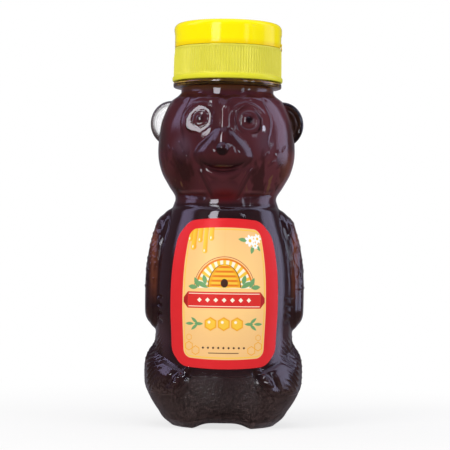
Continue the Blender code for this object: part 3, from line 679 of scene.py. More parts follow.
def honey_look():
    """Very dark honey, redder in the face. Painted light and shade: an orange-brown glow in the arms,
    reflections and glints on the face, and shade nearly black along the mould's creases.
    """
    look = Look("dark_honey_look", 0.5, Specular_IOR_Level=0.0)
    x, y, z = look.parts()
    side = x.abs()
    swirl = look.noise(42, detail=3, stretch=(1, 1, 0.5))
    relief = look.attribute("relief")
    slope = look.attribute("slope")
    ahead = y.below(-4.0, 2.0)

    # Belly, face, foot, flanks and arms, with painted light, shade and glow
    belly = look.mix(swirl, (0.022, 0.0085, 0.0088), (0.042, 0.015, 0.0165))
    # The face is painted lighter and redder towards the bear's left side (+x): painted light.
    lean = swirl * 0.7 + x * 0.011 + 0.15
    face = look.mix(lean.math("MINIMUM", 1.0), (0.068, 0.0095, 0.0105), (0.176, 0.048, 0.062))
    look.tone = look.mix(z.below(84.5, 4.0), face, belly)
    # The foot's grey speckles: the stipple's grain, lightened as a painted reflection of the pale floor.
    stipple_and_floor_reflection = (look.noise(980, detail=1.5) - 0.5).below(0.0, 0.14)
    foot = look.mix(stipple_and_floor_reflection, (0.090, 0.060, 0.057), (0.025, 0.0145, 0.0138))
    # Painted shade: the foot's middle, over the arch between the feet, is painted darker.
    foot = look.mix(side.below(7.0, 6.0) * 0.5, foot, (0.018, 0.0100, 0.0096))
    look.paint(z.below(16.0, 7.0), foot)
    # A lighter mauve patch painted on each flank: painted reflection.
    flank_reflection = side.near(22.0, 2.0, 2.5) * z.near(32.0, 5.0, 6.0) * y.below(-2.0, 4.0)
    look.paint(flank_reflection * 0.6, (0.090, 0.044, 0.056))
    # The arms' outer sides are painted orange-brown: a painted glow of light through the honey.
    arm_glow = look.mix(swirl, (0.24, 0.044, 0.016), (0.40, 0.120, 0.046))
    look.paint(side.near(26.3, 1.0, 1.3) * z.near(62.0, 12.0, 6.0) * 0.85, arm_glow)

    # Muzzle, nose, eyes, ears and neck, with painted shade and a painted reflection at the nose and eyes
    look.paint((relief - 2.9).above(0.0, 1.2) * 0.8, (0.085, 0.0150, 0.018))
    # Nose and pupils are painted nearly black: painted shade where the relief darkens the honey behind it.
    nose = length((x + 1.4) * 0.85, z - 102.5).below(1.3, 0.6)
    pupil_shade = length(x - 8.6, z - 114.2).below(1.25, 0.5) + length(x + 9.6, z - 114.4).below(1.0, 0.5) * 0.6
    look.paint((nose + pupil_shade) * ahead, (0.010, 0.003, 0.004))
    # A lilac ring painted round the eye on the bear's left: painted reflection.
    iris_reflection = length(x - 8.5, z - 114.1).near(3.5, 0.2, 0.4)
    look.paint(iris_reflection * ahead * 0.8, (0.210, 0.130, 0.180))
    ear = side.above(22.5, 2.0) * z.above(103.0, 2.0)
    look.paint(ear, look.mix(swirl, (0.040, 0.017, 0.012), (0.075, 0.032, 0.022)))
    look.paint(z.above(125.5, 1.0), look.mix(swirl, (0.115, 0.042, 0.016), (0.175, 0.068, 0.028)))

    # Cheeks, lower head, chin, locks and folds, with painted reflections, shade, glow, glints and highlights
    # Lilac patches painted on the cheeks: painted reflections.
    cheeks = length(x + 15.8, (z - 104.2) * 0.7).below(2.8, 2.4)
    cheeks = cheeks + length(x - 14.5, (z - 106.5) * 0.7).below(3.0, 2.6) * 0.7
    look.paint(cheeks * ahead * 0.8, (0.150, 0.080, 0.115))
    # The lower head on the bear's right is painted darker: painted shade.
    jaw_shade = length(x + 16.5, (z - 91.5) * 0.7).below(4.5, 3.5)
    look.paint(jaw_shade * ahead * 0.8, (0.046, 0.0060, 0.0060))
    # A deep red patch painted under the chin: painted glow of light through the honey.
    collar_glow = length(x * 0.45, z - 86.2).below(2.2, 1.6)
    look.paint(collar_glow * ahead * 0.85, (0.180, 0.006, 0.007))
    # Streaks painted on the lower cheeks: dark ones as painted shade in the fur's folds, orange ones as
    # painted glints.
    locks = look.noise(170, detail=3, rough=0.6, stretch=(1, 1, 0.3))
    cheek = side.above(8.0, 3.0) * z.below(102.0, 5.0) * z.above(86.0, 1.5)
    look.paint((locks - 0.53).above(0.0, 0.05) * cheek * 0.75, (0.030, 0.006, 0.006))
    look.paint((locks - 0.37).below(0.0, 0.02) * cheek * ahead * 0.6, (0.240, 0.110, 0.045))
    # At the folds under the head: a lighter line painted above as painted highlight, and a dark red line
    # below as painted shade in the groove.
    fold_light_and_shade = side.near(12.0, 4.6, 1.6) * ahead
    look.paint(z.near(87.9, 0.45, 0.5) * fold_light_and_shade * 0.6, (0.230, 0.070, 0.080))
    look.paint(z.near(86.6, 0.5, 0.5) * fold_light_and_shade * 0.7, (0.095, 0.008, 0.008))
    # A lighter orange-red patch painted on the head's left side: painted light.
    lit_side_patch = x.above(20.5, 2.0) * z.near(95.0, 7.0, 4.0) * y.below(2.0, 6.0)
    look.paint(lit_side_patch * 0.55, (0.230, 0.075, 0.042))
    # Painted shade: the honey is painted nearly black where the relief is steep, along the creases.
    look.paint((slope * 0.85).math("MINIMUM", 0.85), (0.009, 0.002, 0.0024))
    look.colour(look.tone)
    look.bump(swirl, 0.0006, 0.3)
    return look.material


def lid_look():
    """Glossy golden yellow plastic, with a painted deeper orange glow at its lower edge."""
    look = Look("lid_yellow_look", 0.12, Specular_IOR_Level=0.24)
    z = look.parts()[2]
    tone = look.mix(look.noise(220, detail=3), (0.95, 0.79, 0.0), (0.98, 0.84, 0.001))
    # The lid's lower edge is painted a deeper orange: painted glow near the parting line.
    look.colour(look.mix(z.below(143.6, 1.2), tone, (0.88, 0.62, 0.003)))
    look.rough(look.noise(900, detail=4), 0.09, 0.15)
    look.bump(look.noise(500, detail=2), 0.0001, 0.25)
    return look.material


def cap_look():
    """Lemon yellow plastic of the screw cap, a little paler on the ribs."""
    look = Look("cap_yellow_look", 0.38)
    z = look.parts()[2]
    tone = look.mix(look.noise(260, detail=3), (0.69, 0.65, 0.045), (0.77, 0.72, 0.072))
    look.colour(look.mix(z.below(131.6, 0.5), tone, (0.73, 0.70, 0.015)))
    look.rough(look.noise(1100, detail=4), 0.32, 0.46)
    look.bump(look.noise(1500, detail=3), 0.00008, 0.35)
    return look.material


def foil_look():
    """Crinkled seal foil."""
    look = Look("foil_look", 0.3, Metallic=1.0)
    look.colour(look.mix(look.noise(300), (0.72, 0.72, 0.73), (0.88, 0.88, 0.88)))
    look.bump(look.noise(420, detail=4), 0.0002, 0.6)
    return look.material


bear_look = plastic_look()
ear_plastic = ear_look()
honey = honey_look()
lid_yellow = lid_look()
cap_yellow = cap_look()
foil = foil_look()


# Label: a film whose print is drawn from its flattened width and height, in units of PRINT_UNIT millimetres

# Outline, in millimetres
LABEL_HALF_WIDTH = 22.4
LABEL_HALF_HEIGHT = 27.65
LABEL_CORNER = 7.4
LABEL_BOW = 1.5

# Place and film, in metres
LABEL_MIDDLE = 0.0501
LABEL_SIDE = 0.0004
LABEL_BEND_RADIUS = 0.0258
LABEL_LIFT = 0.00003
LABEL_FILM = 0.00025
LABEL_EDGE = 0.00008

# Print
PRINT_UNIT = 0.91
PANEL_HALF_WIDTH = 18.0
PANEL_HALF_HEIGHT = 26.6
PANEL_CORNER = 3.2

RED = (0.70, 0.026, 0.022)
DARK_RED = (0.42, 0.012, 0.014)
PEACH = (0.99, 0.630, 0.240)
TAN = (0.88, 0.535, 0.215)
CREAM = (0.97, 0.88, 0.68)
PETAL_WHITE = (0.93, 0.94, 0.92)
YELLOW = (0.93, 0.56, 0.05)
GOLD = (0.86, 0.38, 0.012)
ORANGE = (0.78, 0.20, 0.012)
BROWN = (0.055, 0.020, 0.012)
GREEN = (0.16, 0.36, 0.14)

# Leaves as middle, turn and reach, and drips as middle, foot and half width
HIVE_LEAVES = ((9.2, 3.6, 0.5, 2.7), (11.6, 4.4, 1.1, 2.3), (8.2, 5.6, 1.3, 2.0), (13.2, 2.6, 0.1, 2.1))
HONEY_DRIPS = (
    (-14.2, 18.8, 1.25), (-11.4, 21.6, 1.1), (-8.7, 17.2, 1.0), (-6.1, 22.4, 1.1), (-16.4, 22.0, 1.1),
)


def turned_leaf(au, v, cx, cz, angle, half_length, half_width):
    """A pointed leaf: 1 inside it."""
    across, up = au - cx, v - cz
    along = (across * cos(angle) + up * sin(angle)) / half_length
    aside = (up * cos(angle) - across * sin(angle)).abs() / half_width
    return (aside + along * along).below(1.0, 0.12)


def hexagon(u, v, cx, cz, size):
    """How far out a point is from a hexagon's middle, as a share of its size."""
    across, up = (u - cx).abs(), (v - cz).abs()
    return across.math("MAXIMUM", across * 0.5 + up * 0.866) / size


def label_look():
    """A red border round a peach panel: a hive in a sunburst, a plain red band, cells, leaves and drips."""
    look = Look("label_print", 0.4, Specular_IOR_Level=0.25)
    ink = look.paint
    u, v = look.parts("UV", 100.0 / PRINT_UNIT)[:2]
    au = u.abs()

    # Panel and its line
    bowed_u = au + v * v * 0.0016
    bowed_v = v.abs() + u * u * 0.003
    qx = (bowed_u - (PANEL_HALF_WIDTH - PANEL_CORNER)).math("MAXIMUM", 0.0)
    qy = (bowed_v - (PANEL_HALF_HEIGHT - PANEL_CORNER)).math("MAXIMUM", 0.0)
    edge = length(qx, qy) - PANEL_CORNER
    look.tone = look.mix(length(u * 0.9, v - 2.0).below(17.0, 12.0), TAN, PEACH)
    ink(edge.near(-0.75, 0.2), YELLOW)

    # Corner cells at the panel's foot
    for cx, cz, size in ((14.6, -21.2, 1.7), (11.6, -22.9, 1.7), (14.6, -17.7, 1.2)):
        ink(hexagon(au, v, cx, cz, size).near(0.9, 0.09, 0.05), GOLD)

    # Sunburst behind the hive
    sun_v = v - 2.2
    away = length(u, sun_v)
    rays = (sun_v.math("ARCTAN2", u) * (26 / tau)).math("FRACT")
    above = sun_v.over(0.0)
    ink(away.below(11.6) * above, look.mix(rays.near(0.5, 0.25, 0.03), CREAM, YELLOW))
    ink(away.near(11.6, 0.38) * above, ORANGE)
    ink(away.near(12.6, 0.12) * above, DARK_RED)

    # Beehive of coiled rope with its door
    rise = (v - 2.4) / 9.4
    half = (rise * rise * -1.0 + 1.0).math("MAXIMUM", 0.0).math("SQRT") * 6.7
    coils = ((v - 2.4) * (tau / 1.85)).math("COSINE")
    straw = look.mix(coils.below(-0.1, 0.6), YELLOW, ORANGE)
    straw = look.mix((au - half + 1.0).below(0.0, 0.9), GOLD, straw)
    ink((au - half).below(0.0) * rise.over(0.0), straw)
    ink(au.near(half, 0.16) * rise.over(0.0) * rise.math("LESS_THAN", 1.0), BROWN)
    ink(length(u / 1.5, (v - 4.2) / 1.75).below(1.0), BROWN)

    # Leaves at the hive's foot
    for cx, cz, angle, reach in HIVE_LEAVES:
        ink(turned_leaf(au, v, cx, cz, angle, reach, 0.95), GREEN)

    # Straight band with small diamonds
    band_v = v + 2.6
    ink(band_v.abs().below(3.3) * au.below(15.4), RED)
    ink(band_v.abs().near(2.55, 0.14) * au.below(15.0), CREAM)
    diamond = ((u / 3.4).math("ROUND") * 3.4 - u).abs() + band_v.abs()
    ink(diamond.below(0.95) * au.below(12.2), CREAM)
    ink((band_v.abs() + (au - 15.4) * 1.2).below(3.3) * au.below(17.4) * au.over(15.4), DARK_RED)

    # Three cells under the band, with a sprig on each side
    for cx, cz in ((0.0, -12.2), (-5.4, -12.2), (5.4, -12.2)):
        share = hexagon(u, v, cx, cz, 2.45)
        ink(share.below(1.0), GOLD)
        ink(share.below(0.78), YELLOW)
        ink(length(u - (cx - 0.6), v - (cz + 0.7)).below(0.55, 0.2), CREAM)
    for cx, cz, angle in ((10.4, -12.2, 0.0), (12.2, -10.9, 0.7), (12.2, -13.5, -0.7), (14.4, -12.2, 0.0)):
        ink(turned_leaf(au, v, cx, cz, angle, 1.9, 0.62), GREEN)

    # Small ornaments over a level line
    row = ((u / 2.1).math("ROUND") * 2.1 - u).abs() + (v + 21.8).abs()
    ink(row.below(0.55) * au.below(9.6), BROWN)
    ink(v.near(-23.9, 0.16) * au.below(6.2), BROWN)

    # Honey that runs down from the panel's top left
    for cx, low, wide in HONEY_DRIPS:
        tail = u.near(cx, wide) * v.over(low)
        run = tail.math("MAXIMUM", length(u - cx, v - low).below(wide * 1.12))
        ink(run, look.mix((u - cx - 0.4).below(0.0, 1.0), GOLD, YELLOW))
        ink(length(u - (cx - 0.35), (v - low) / 1.8).below(0.3, 0.12), CREAM)

    # Blossoms with leaves at the top right
    for cx, cz, angle, reach in ((14.6, 19.0, -0.9, 2.3), (8.2, 21.7, 3.0, 2.2), (12.2, 17.8, -1.9, 1.8)):
        ink(turned_leaf(u, v, cx, cz, angle, reach, 0.8), GREEN)
    for cx, cz, size in ((11.4, 21.4, 2.3), (15.0, 22.2, 1.9), (13.7, 19.4, 1.4)):
        across, up = u - cx, v - cz
        petals = (up.math("ARCTAN2", across) * 3.5).math("COSINE").abs() * 0.45 + 0.6
        away = length(across, up)
        ink((away / (petals * size)).below(1.0, 0.1), PETAL_WHITE)
        ink(away.below(size * 0.3, 0.1), YELLOW)

    border = look.mix(look.noise(180, detail=2), (0.66, 0.013, 0.017), (0.72, 0.018, 0.023))
    look.colour(look.mix(edge.below(0.0), border, look.tone))
    look.rough(look.noise(700, detail=3), 0.30, 0.42)
    look.bump(look.noise(1300, detail=3), 0.00006, 0.3)
    return look.material


def make_label(look):
    """A barrel-shaped film on the belly, with its flattened place kept as UVs."""
    side_steps, rise_steps = 72, 96
    places = []
    for low in range(rise_steps + 1):
        for left in range(side_steps + 1):
            s = 2 * left / side_steps - 1
            t = 2 * low / rise_steps - 1
            u = s * (LABEL_HALF_WIDTH - LABEL_BOW * t * t)
            v = t * (LABEL_HALF_HEIGHT - LABEL_BOW * s * s)
            outer = max(abs(s), abs(t))
            if outer > 0:
                x, z = abs(s) / outer * LABEL_HALF_WIDTH, abs(t) / outer * LABEL_HALF_HEIGHT
                cx, cz = LABEL_HALF_WIDTH - LABEL_CORNER, LABEL_HALF_HEIGHT - LABEL_CORNER
                if x > cx and z > cz:
                    reach = hypot(x, z)
                    middle = cx * (x / reach) + cz * (z / reach)
                    cut = middle + sqrt(max(middle**2 - cx**2 - cz**2 + LABEL_CORNER**2, 0))
                    shrink = 1 - (1 - min(cut / reach, 1)) * outer**5
                    u, v = u * shrink, v * shrink
            places.append((u, v))
    flat = np.array(places)
    turn = (flat[:, 0] / 1000 + LABEL_SIDE) / LABEL_BEND_RADIUS
    height = LABEL_MIDDLE + flat[:, 1] / 1000
    radius = base_radius(turn, height) + LABEL_LIFT

    form = bmesh.new()
    vertices = [form.verts.new(point) for point in placed(radius, turn, height).tolist()]
    layer = form.loops.layers.uv.new("print")
    width = side_steps + 1
    for low in range(rise_steps):
        for left in range(side_steps):
            corner = low * width + left
            corners = (corner, corner + 1, corner + width + 1, corner + width)
            face = form.faces.new([vertices[index] for index in corners])
            for loop, index in zip(face.loops, corners):
                loop[layer].uv = (flat[index, 0] / 100, flat[index, 1] / 100)
    made = linked_form("label", form)
    film = made.modifiers.new("Film", "SOLIDIFY")
    film.thickness = LABEL_FILM
    film.offset = 1
    rounded = made.modifiers.new("Edge", "BEVEL")
    rounded.width = LABEL_EDGE
    rounded.segments = 2
    rounded.limit_method = "ANGLE"
    return polished(made, look)


# Bear

# Rings of the base: share of the foot's radius, and share of the push-up's height
BASE_STEPS = (
    (0.02, 1.0), (0.2, 1.0), (0.38, 1.0), (0.48, 0.88), (0.6, 0.5), (0.72, 0.13), (0.8, 0.0), (0.92, 0.0),
)


def base_rings(turns, lift=0.0):
    """Rings of the base, from its pushed-up middle to its foot ring."""
    rings = []
    level = np.zeros_like(turns)
    radius = base_radius(turns, level)
    for share, rise in BASE_STEPS:
        points = placed(radius * share, turns, level)
        points[:, 2] = points[:, 2] * (1 - rise) + PUSH_UP_HEIGHT * rise + lift
        rings.append(points)
    return rings


def inner_rings(turns, depth, heights):
    """Rings of the smooth skin moved inwards, from low to high."""
    points = skin_points(turns, heights, detail=False)
    return list(points - grid_normals(points) * depth)


def thread_relief(turns, height, start, base, wraps, rise, half_width):
    """How far a thread stands out at a height."""
    relief = np.zeros_like(turns)
    angle = (turns - pi / 2) % tau
    end = start + tau * wraps
    for wrap in range(3):
        along = angle + tau * wrap
        middle = base + THREAD_PITCH * along / tau
        inside = smooth(start, start + 0.2, along) * (1 - smooth(end - 0.2, end, along))
        relief = np.maximum(relief, rise * plateau((height - middle) / half_width) * inside)
    return relief


INNER_HEIGHTS = np.concatenate((
    np.linspace(0.0008, COLLAR_HEIGHT, 160, endpoint=False),
    np.linspace(COLLAR_HEIGHT, BODY_HEIGHT - 0.0004, 130),
))

# Profiles: the radius and height of each ring
CARRYING_RING = (
    (0.0175, 0.1262), (0.0175, 0.1269), (0.0178, 0.1272), (0.0184, 0.1273), (0.0200, 0.1274),
    (0.02035, 0.12755), (0.0205, 0.1279), (0.0205, 0.1288), (0.02038, 0.12915), (0.0201, 0.1293),
    (0.0184, 0.1293), (0.0178, 0.12938),
)
MOUTH = (
    (0.01745, 0.1397), (0.0172, 0.1399), (0.0165, 0.1399), (0.01625, 0.13975), (0.0162, 0.1395),
    (0.0162, 0.1340), (0.0162, 0.1290), (0.0162, 0.1268),
)

# Threads: start, height there, number of turns, how far they stand out, half width, and the rings' heights
NECK_THREAD = (radians(4.5), THREAD_START_HEIGHT, THREAD_TURNS, 0.00115, 0.00125)
CAP_THREAD = (radians(61), THREAD_START_HEIGHT - THREAD_PITCH / 2, CAP_THREAD_TURNS, 0.00085, 0.00085)
NECK_THREAD_HEIGHTS = np.linspace(0.1296, 0.1395, 52)
CAP_THREAD_HEIGHTS = np.linspace(0.1410, 0.1299, 44)


def make_bear(look):
    """The bottle: detailed skin, carrying ring, thread and mouth, and the hollow inside."""
    turns = columns(SKIN_COLUMNS, FRONT_CROWDING)
    body = int(SKIN_ROWS * 0.58)
    heights = np.concatenate((
        np.linspace(0.0, COLLAR_HEIGHT, body, endpoint=False),
        np.linspace(COLLAR_HEIGHT, BODY_HEIGHT, SKIN_ROWS - body),
    ))
    rings = base_rings(turns) + list(skin_points(turns, heights)) + ring_run(turns, CARRYING_RING)
    for height in NECK_THREAD_HEIGHTS:
        rings.append(ring(NECK_RADIUS + thread_relief(turns, height, *NECK_THREAD), height, turns))
    rings += ring_run(turns, MOUTH)
    rings += inner_rings(turns, BODY_WALL, INNER_HEIGHTS)[::-1]
    rings += base_rings(turns, BODY_WALL)[-2::-1]
    return polished(solid_from_rings("bear_bottle", rings), look, 70)


# The honey's top: share of the bore's radius, and height
HONEY_DISH = (
    (1, 0.1268), (1, 0.1279), (1, 0.12835), (0.985, 0.1281), (0.95, 0.1279), (0.8, 0.1278), (0.4, 0.1278),
    (0.02, 0.1278),
)
HONEY_GRIP = 0.00009


def make_honey(look):
    """The honey, which wets the wall up to a dished top. It carries the relief of the skin before it."""
    turns = columns(SKIN_COLUMNS, FRONT_CROWDING)
    foot = base_rings(turns, BODY_WALL - HONEY_GRIP)[:-1]
    rings = foot + inner_rings(turns, BODY_WALL - HONEY_GRIP, INNER_HEIGHTS)
    radius = BORE_RADIUS + HONEY_GRIP
    rings += ring_run(turns, [(radius * share, height) for share, height in HONEY_DISH])
    made = solid_from_rings("honey_fill", rings)

    turn, height = np.meshgrid(turns, INNER_HEIGHTS)
    relief = relieved(0, turn, height, 0.8)
    across = np.gradient(relief, axis=1) / (np.gradient(turn, axis=1) * GIRTH_RADIUS)
    up = np.gradient(relief, axis=0) / np.gradient(height, axis=0)
    for name, values in (("relief", relief * 1000), ("slope", np.hypot(across, up))):
        layer = made.data.attributes.new(name, "FLOAT", "POINT")
        below, over = (np.zeros(turns.size * len(rows)) for rows in (foot, HONEY_DISH))
        spread = np.concatenate((below, values.ravel(), over, (0, 0)))
        layer.data.foreach_set("value", spread.astype(np.float32))
    return polished(made, look, 60)


# An ear's outline from the front's middle to the back's: radius in metres, and depth in millimetres
EAR_OUTLINE = (
    (0.0002, 0.25), (0.0020, 0.22), (0.0040, 0.30), (0.0048, 0.62), (0.0052, 0.86), (0.0056, 0.72),
    (0.0059, 0.58), (0.0062, 0.80), (0.0066, 1.18), (0.0070, 1.36), (0.0075, 1.28), (0.0080, 0.92),
    (0.0083, 0.46), (0.0084, 0.0), (0.0083, -0.46), (0.0080, -0.92), (0.0075, -1.28), (0.0070, -1.36),
    (0.0065, -1.18), (0.0060, -0.85), (0.0050, -0.7), (0.0025, -0.65), (0.0002, -0.65),
)


def make_ear(name, side, look, inset=0.0):
    """A round ear with a thick rim and a dished web, which faces forwards. The inset makes what fills it."""
    turns = np.linspace(-pi, pi, 96, endpoint=False)
    squeeze = 1 + 0.03 * np.cos(turns * 2)
    rings = []
    for radius, depth in EAR_OUTLINE:
        radius = radius * (1 - inset / EAR_RADIUS)
        depth = depth * (1 - inset / EAR_HALF_DEPTH)
        across, up = radius * squeeze * np.sin(turns), radius * squeeze * np.cos(turns)
        rings.append(np.stack((across, np.full_like(turns, -depth / 1000), up), axis=-1))
    made = solid_from_rings(name, rings)
    form = bmesh.new()
    form.from_mesh(made.data)
    bmesh.ops.recalc_face_normals(form, faces=form.faces)
    place = Matrix.Translation((side * EAR_SIDE, EAR_BACK, EAR_HEIGHT))
    form.transform(place @ Matrix.Rotation(side * EAR_TURN, 4, "Z"))
    form.to_mesh(made.data)
    form.free()
    smoothed = made.modifiers.new("Smooth", "SUBSURF")
    smoothed.levels = 1
    smoothed.render_levels = 1
    return polished(made, look, 180)


# Cap

def turned_piece(name, rings, look, closed=False, angle=35):
    """A piece from rings of points round the axis."""
    made = solid_from_rings(name, rings + rings[:1] if closed else rings)
    form = bmesh.new()
    form.from_mesh(made.data)
    if closed:
        ends = sorted(form.verts, key=lambda corner: -len(corner.link_edges))[:2]
        bmesh.ops.delete(form, geom=ends, context="VERTS")
    bmesh.ops.remove_doubles(form, verts=form.verts, dist=1e-7)
    bmesh.ops.recalc_face_normals(form, faces=form.faces)
    form.to_mesh(made.data)
    form.free()
    return polished(made, look, angle)


def hinge_side(turns):
    """1 where the living hinge runs, on the bear's left side."""
    return (np.sin(turns) > 0) * (np.abs(np.cos(turns)) * LID_RADIUS < HINGE_HALF_WIDTH)


def side_bump(turns, half_width, side):
    """A round bump at the hinge's side, or at the thumb's side opposite it."""
    return bump(-np.cos(turns) * LID_RADIUS / half_width) * (np.sin(turns) * side > 0)


# Profiles: the radius and height of each ring
SKIRT_BEAD = (
    (0.0199, 0.1296), (0.0205, 0.12962), (0.02075, 0.1298), (0.0209, 0.13015), (0.0209, 0.1309),
    (0.02082, 0.1312), (0.02062, 0.1314), (0.02048, 0.13147),
)
SKIRT_TOP = (
    (0.02038, 0.1418), (0.02038, 0.1420), (0.02034, 0.1422), (0.0202, 0.1423), (0.0193, 0.1423),
    (0.0191, 0.1424), (0.0190, 0.1430), (0.0189, 0.1431),
)
DECK_AND_SPOUT = (
    (0.0185, 0.1431), (0.0160, 0.143), (0.0120, 0.143), (0.0080, 0.143), (0.0076, 0.1431), (0.0071, 0.1435),
    (0.0060, 0.1450), (0.0049, 0.1466), (0.0043, 0.1472), (0.0042, 0.1474), (0.00405, 0.1475),
    (0.0030, 0.1475), (0.0027, 0.14742), (0.0026, 0.1472), (0.0026, 0.1445), (0.0026, 0.1417),
    (0.0027, 0.1415), (0.0100, 0.1415), (0.0188, 0.1415), (0.0191, 0.1413),
)
RIB_FOOT = 0.02046


def make_cap(look):
    """The screw cap: a finely ribbed skirt over a round bead, the deck, the spout and the thread inside."""
    turns = columns(RIB_COUNT * RIB_STEPS)
    hinge = hinge_side(turns)
    thumb = side_bump(turns, 0.0055, -1)
    wave = (0.5 + 0.5 * np.cos(turns * RIB_COUNT)) ** 0.8
    rings = []

    def outside(radius, height, ribs=0.0):
        cut = 0.00035 * ribs * wave
        cut = cut + 0.0003 * thumb * smooth(0.1385, 0.1412, height)
        cut = cut + 0.0004 * hinge * (0.1416 < height < 0.14235)
        rings.append(ring(radius - cut, height, turns))

    for radius, height in SKIRT_BEAD:
        outside(radius, height)
    for height in (0.1316, 0.1318, 0.1320, 0.1323):
        outside(RIB_FOOT, height, float(smooth(0.1315, 0.1322, height)))
    for height in np.linspace(0.1326, 0.1411, 22):
        outside(RIB_FOOT - 0.0001 * (height - 0.1326) / 0.0085, height, 1.0)
    for height in (0.1413, 0.1415, 0.1417):
        outside(0.02036, height, float(1 - smooth(0.1411, 0.1418, height)))
    for radius, height in SKIRT_TOP:
        outside(radius, height)
    rings += ring_run(turns, DECK_AND_SPOUT)
    for height in CAP_THREAD_HEIGHTS:
        rings.append(ring(CAP_BORE_RADIUS - thread_relief(turns, height, *CAP_THREAD), height, turns))
    rings.append(ring(0.0193, 0.1297, turns))
    return turned_piece("screw_cap", rings, look, closed=True)


# Profiles: the radius and height of each ring
LID_LIP = (
    (0.0204, 0.14385), (0.0204, 0.1434), (0.0204, 0.1430), (0.0204, 0.1427), (0.02036, 0.1425),
    (0.0202, 0.1424),
)
LID_INSIDE = (
    (0.0195, 0.1424), (0.0193, 0.1425), (0.0192, 0.1429), (0.0192, 0.1437), (0.0192, 0.1485),
    (0.0190, 0.1494), (0.0186, 0.1500), (0.0180, 0.1503), (0.0170, 0.1504), (0.0045, 0.1504),
    (0.0026, 0.1504), (0.0022, 0.1502), (0.0021, 0.1500), (0.0018, 0.1480), (0.00145, 0.1461),
    (0.0013, 0.1460), (0.0002, 0.1459),
)


def make_lid(look):
    """The flip lid: a smooth cup with a rounded edge, a thumb scoop and the plug pin."""
    turns = columns(320)
    hinge = hinge_side(turns)
    hinge_flat = side_bump(turns, 0.0062, 1)
    thumb = side_bump(turns, 0.0070, -1)
    rings = []

    def outside(radius, height):
        cut = 0.0003 * thumb * (1 - smooth(0.1466, 0.1493, height))
        cut = cut + 0.00022 * hinge_flat * (1 - smooth(0.1468, 0.1476, height))
        cut = cut + 0.0006 * hinge * (height < 0.14385)
        rings.append(ring(radius - cut, height, turns))

    for share in (0.02, 0.04, 0.06, 0.08):
        rings.append(ring(LID_RADIUS * share, LID_TOP - 0.00035 + 0.0001 * smooth(0.05, 0.08, share), turns))
    for share in np.linspace(0.1, 0.86, 14):
        rings.append(ring(LID_RADIUS * share, LID_TOP - 0.00022 + 0.00022 * share**2, turns))
    side, level = LID_RADIUS - LID_ROUNDING, LID_TOP - LID_ROUNDING
    for turn in np.radians(np.linspace(90, 0, 14)):
        outside(side + LID_ROUNDING * cos(turn), level + LID_ROUNDING * sin(turn))
    for height in np.linspace(0.1490, 0.1439, 16):
        outside(LID_RADIUS, height)
    for radius, height in LID_LIP:
        outside(radius, height)
    rings += ring_run(turns, LID_INSIDE)
    return turned_piece("flip_lid_shell", rings, look)


def make_hinge_film(look):
    """The thin web between cap and lid."""
    form = bmesh.new()
    rows = []
    steps = 14
    for index in range(steps + 1):
        height = FILM_FOOT + (FILM_TOP - FILM_FOOT) * index / steps
        thin = 0.00014 + 0.00012 * abs(2 * index / steps - 1) ** 2
        middle = HINGE_RADIUS - 0.0002 - 0.00006 * cos((index / steps - 0.5) * pi)
        row = []
        for side in (-1, 1):
            for along in np.linspace(-FILM_HALF_WIDTH, FILM_HALF_WIDTH, 9) * side:
                row.append(form.verts.new((middle + side * thin, along, height)))
        rows.append(row)
    count = len(rows[0])
    for low, high in zip(rows, rows[1:]):
        for index in range(count):
            following = (index + 1) % count
            form.faces.new((low[index], low[following], high[following], high[index]))
    form.faces.new(rows[0])
    form.faces.new(rows[-1])
    bmesh.ops.recalc_face_normals(form, faces=form.faces)
    return polished(linked_form("hinge_film", form), look)


bear = make_bear(bear_look)
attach(bear, "bottle")
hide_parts("bottle")
for ear_side, ear_word in ((-1, "ear_right"), (1, "ear_left")):
    ear = make_ear(ear_word, ear_side, ear_plastic)
    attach(ear, "bottle")
ear_fill = make_ear("honey_in_ear", 1, honey, 0.0003)
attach(ear_fill, "bottle")
fill = make_honey(honey)
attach(fill, "bottle")
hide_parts("honey")
label = make_label(label_look())
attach(label, "bottle")
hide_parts("front_label")
cap = make_cap(cap_yellow)
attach(cap, "cap")
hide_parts("cap_base")
lid = make_lid(lid_yellow)
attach(lid, "lid")
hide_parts("flip_lid")
film = make_hinge_film(lid_yellow)
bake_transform(film)
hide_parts("living_hinge")
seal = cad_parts["seal_liner"]
seal.data.materials.clear()
seal.data.materials.append(foil)


# Studio

def floor_look():
    """A pale floor that the camera and glass see as white, with the object's shadow kept near it."""
    look = Look("floor_look", 0.9, Specular_IOR_Level=0.0, Base_Color=(0.8, 0.8, 0.81, 1))
    tree = look.tree
    glow = add_node(tree, "ShaderNodeEmission", ("Color", (1, 1, 1, 1)))
    clear = add_node(tree, "ShaderNodeBsdfTransparent")
    x, y, _ = axes(tree, look.coordinates["Object"])
    seen, glossy = ray_kinds(tree)
    surface = look.shader.outputs[0]
    for share, other in (((length(x, y).below(0.13, 0.09) * -0.26 + 1.0) * seen, glow), (glossy, clear)):
        inputs = (share, surface, other.outputs[0])
        surface = add_node(tree, "ShaderNodeMixShader", *enumerate(inputs)).outputs[0]
    tree.links.new(surface, tree.nodes["Material Output"].inputs["Surface"])
    return look.material


def make_floor():
    """A round floor."""
    form = bmesh.new()
    bmesh.ops.create_circle(form, cap_ends=True, segments=96, radius=3)
    made = linked_form("floor", form)
    made.data.materials.append(floor_look())


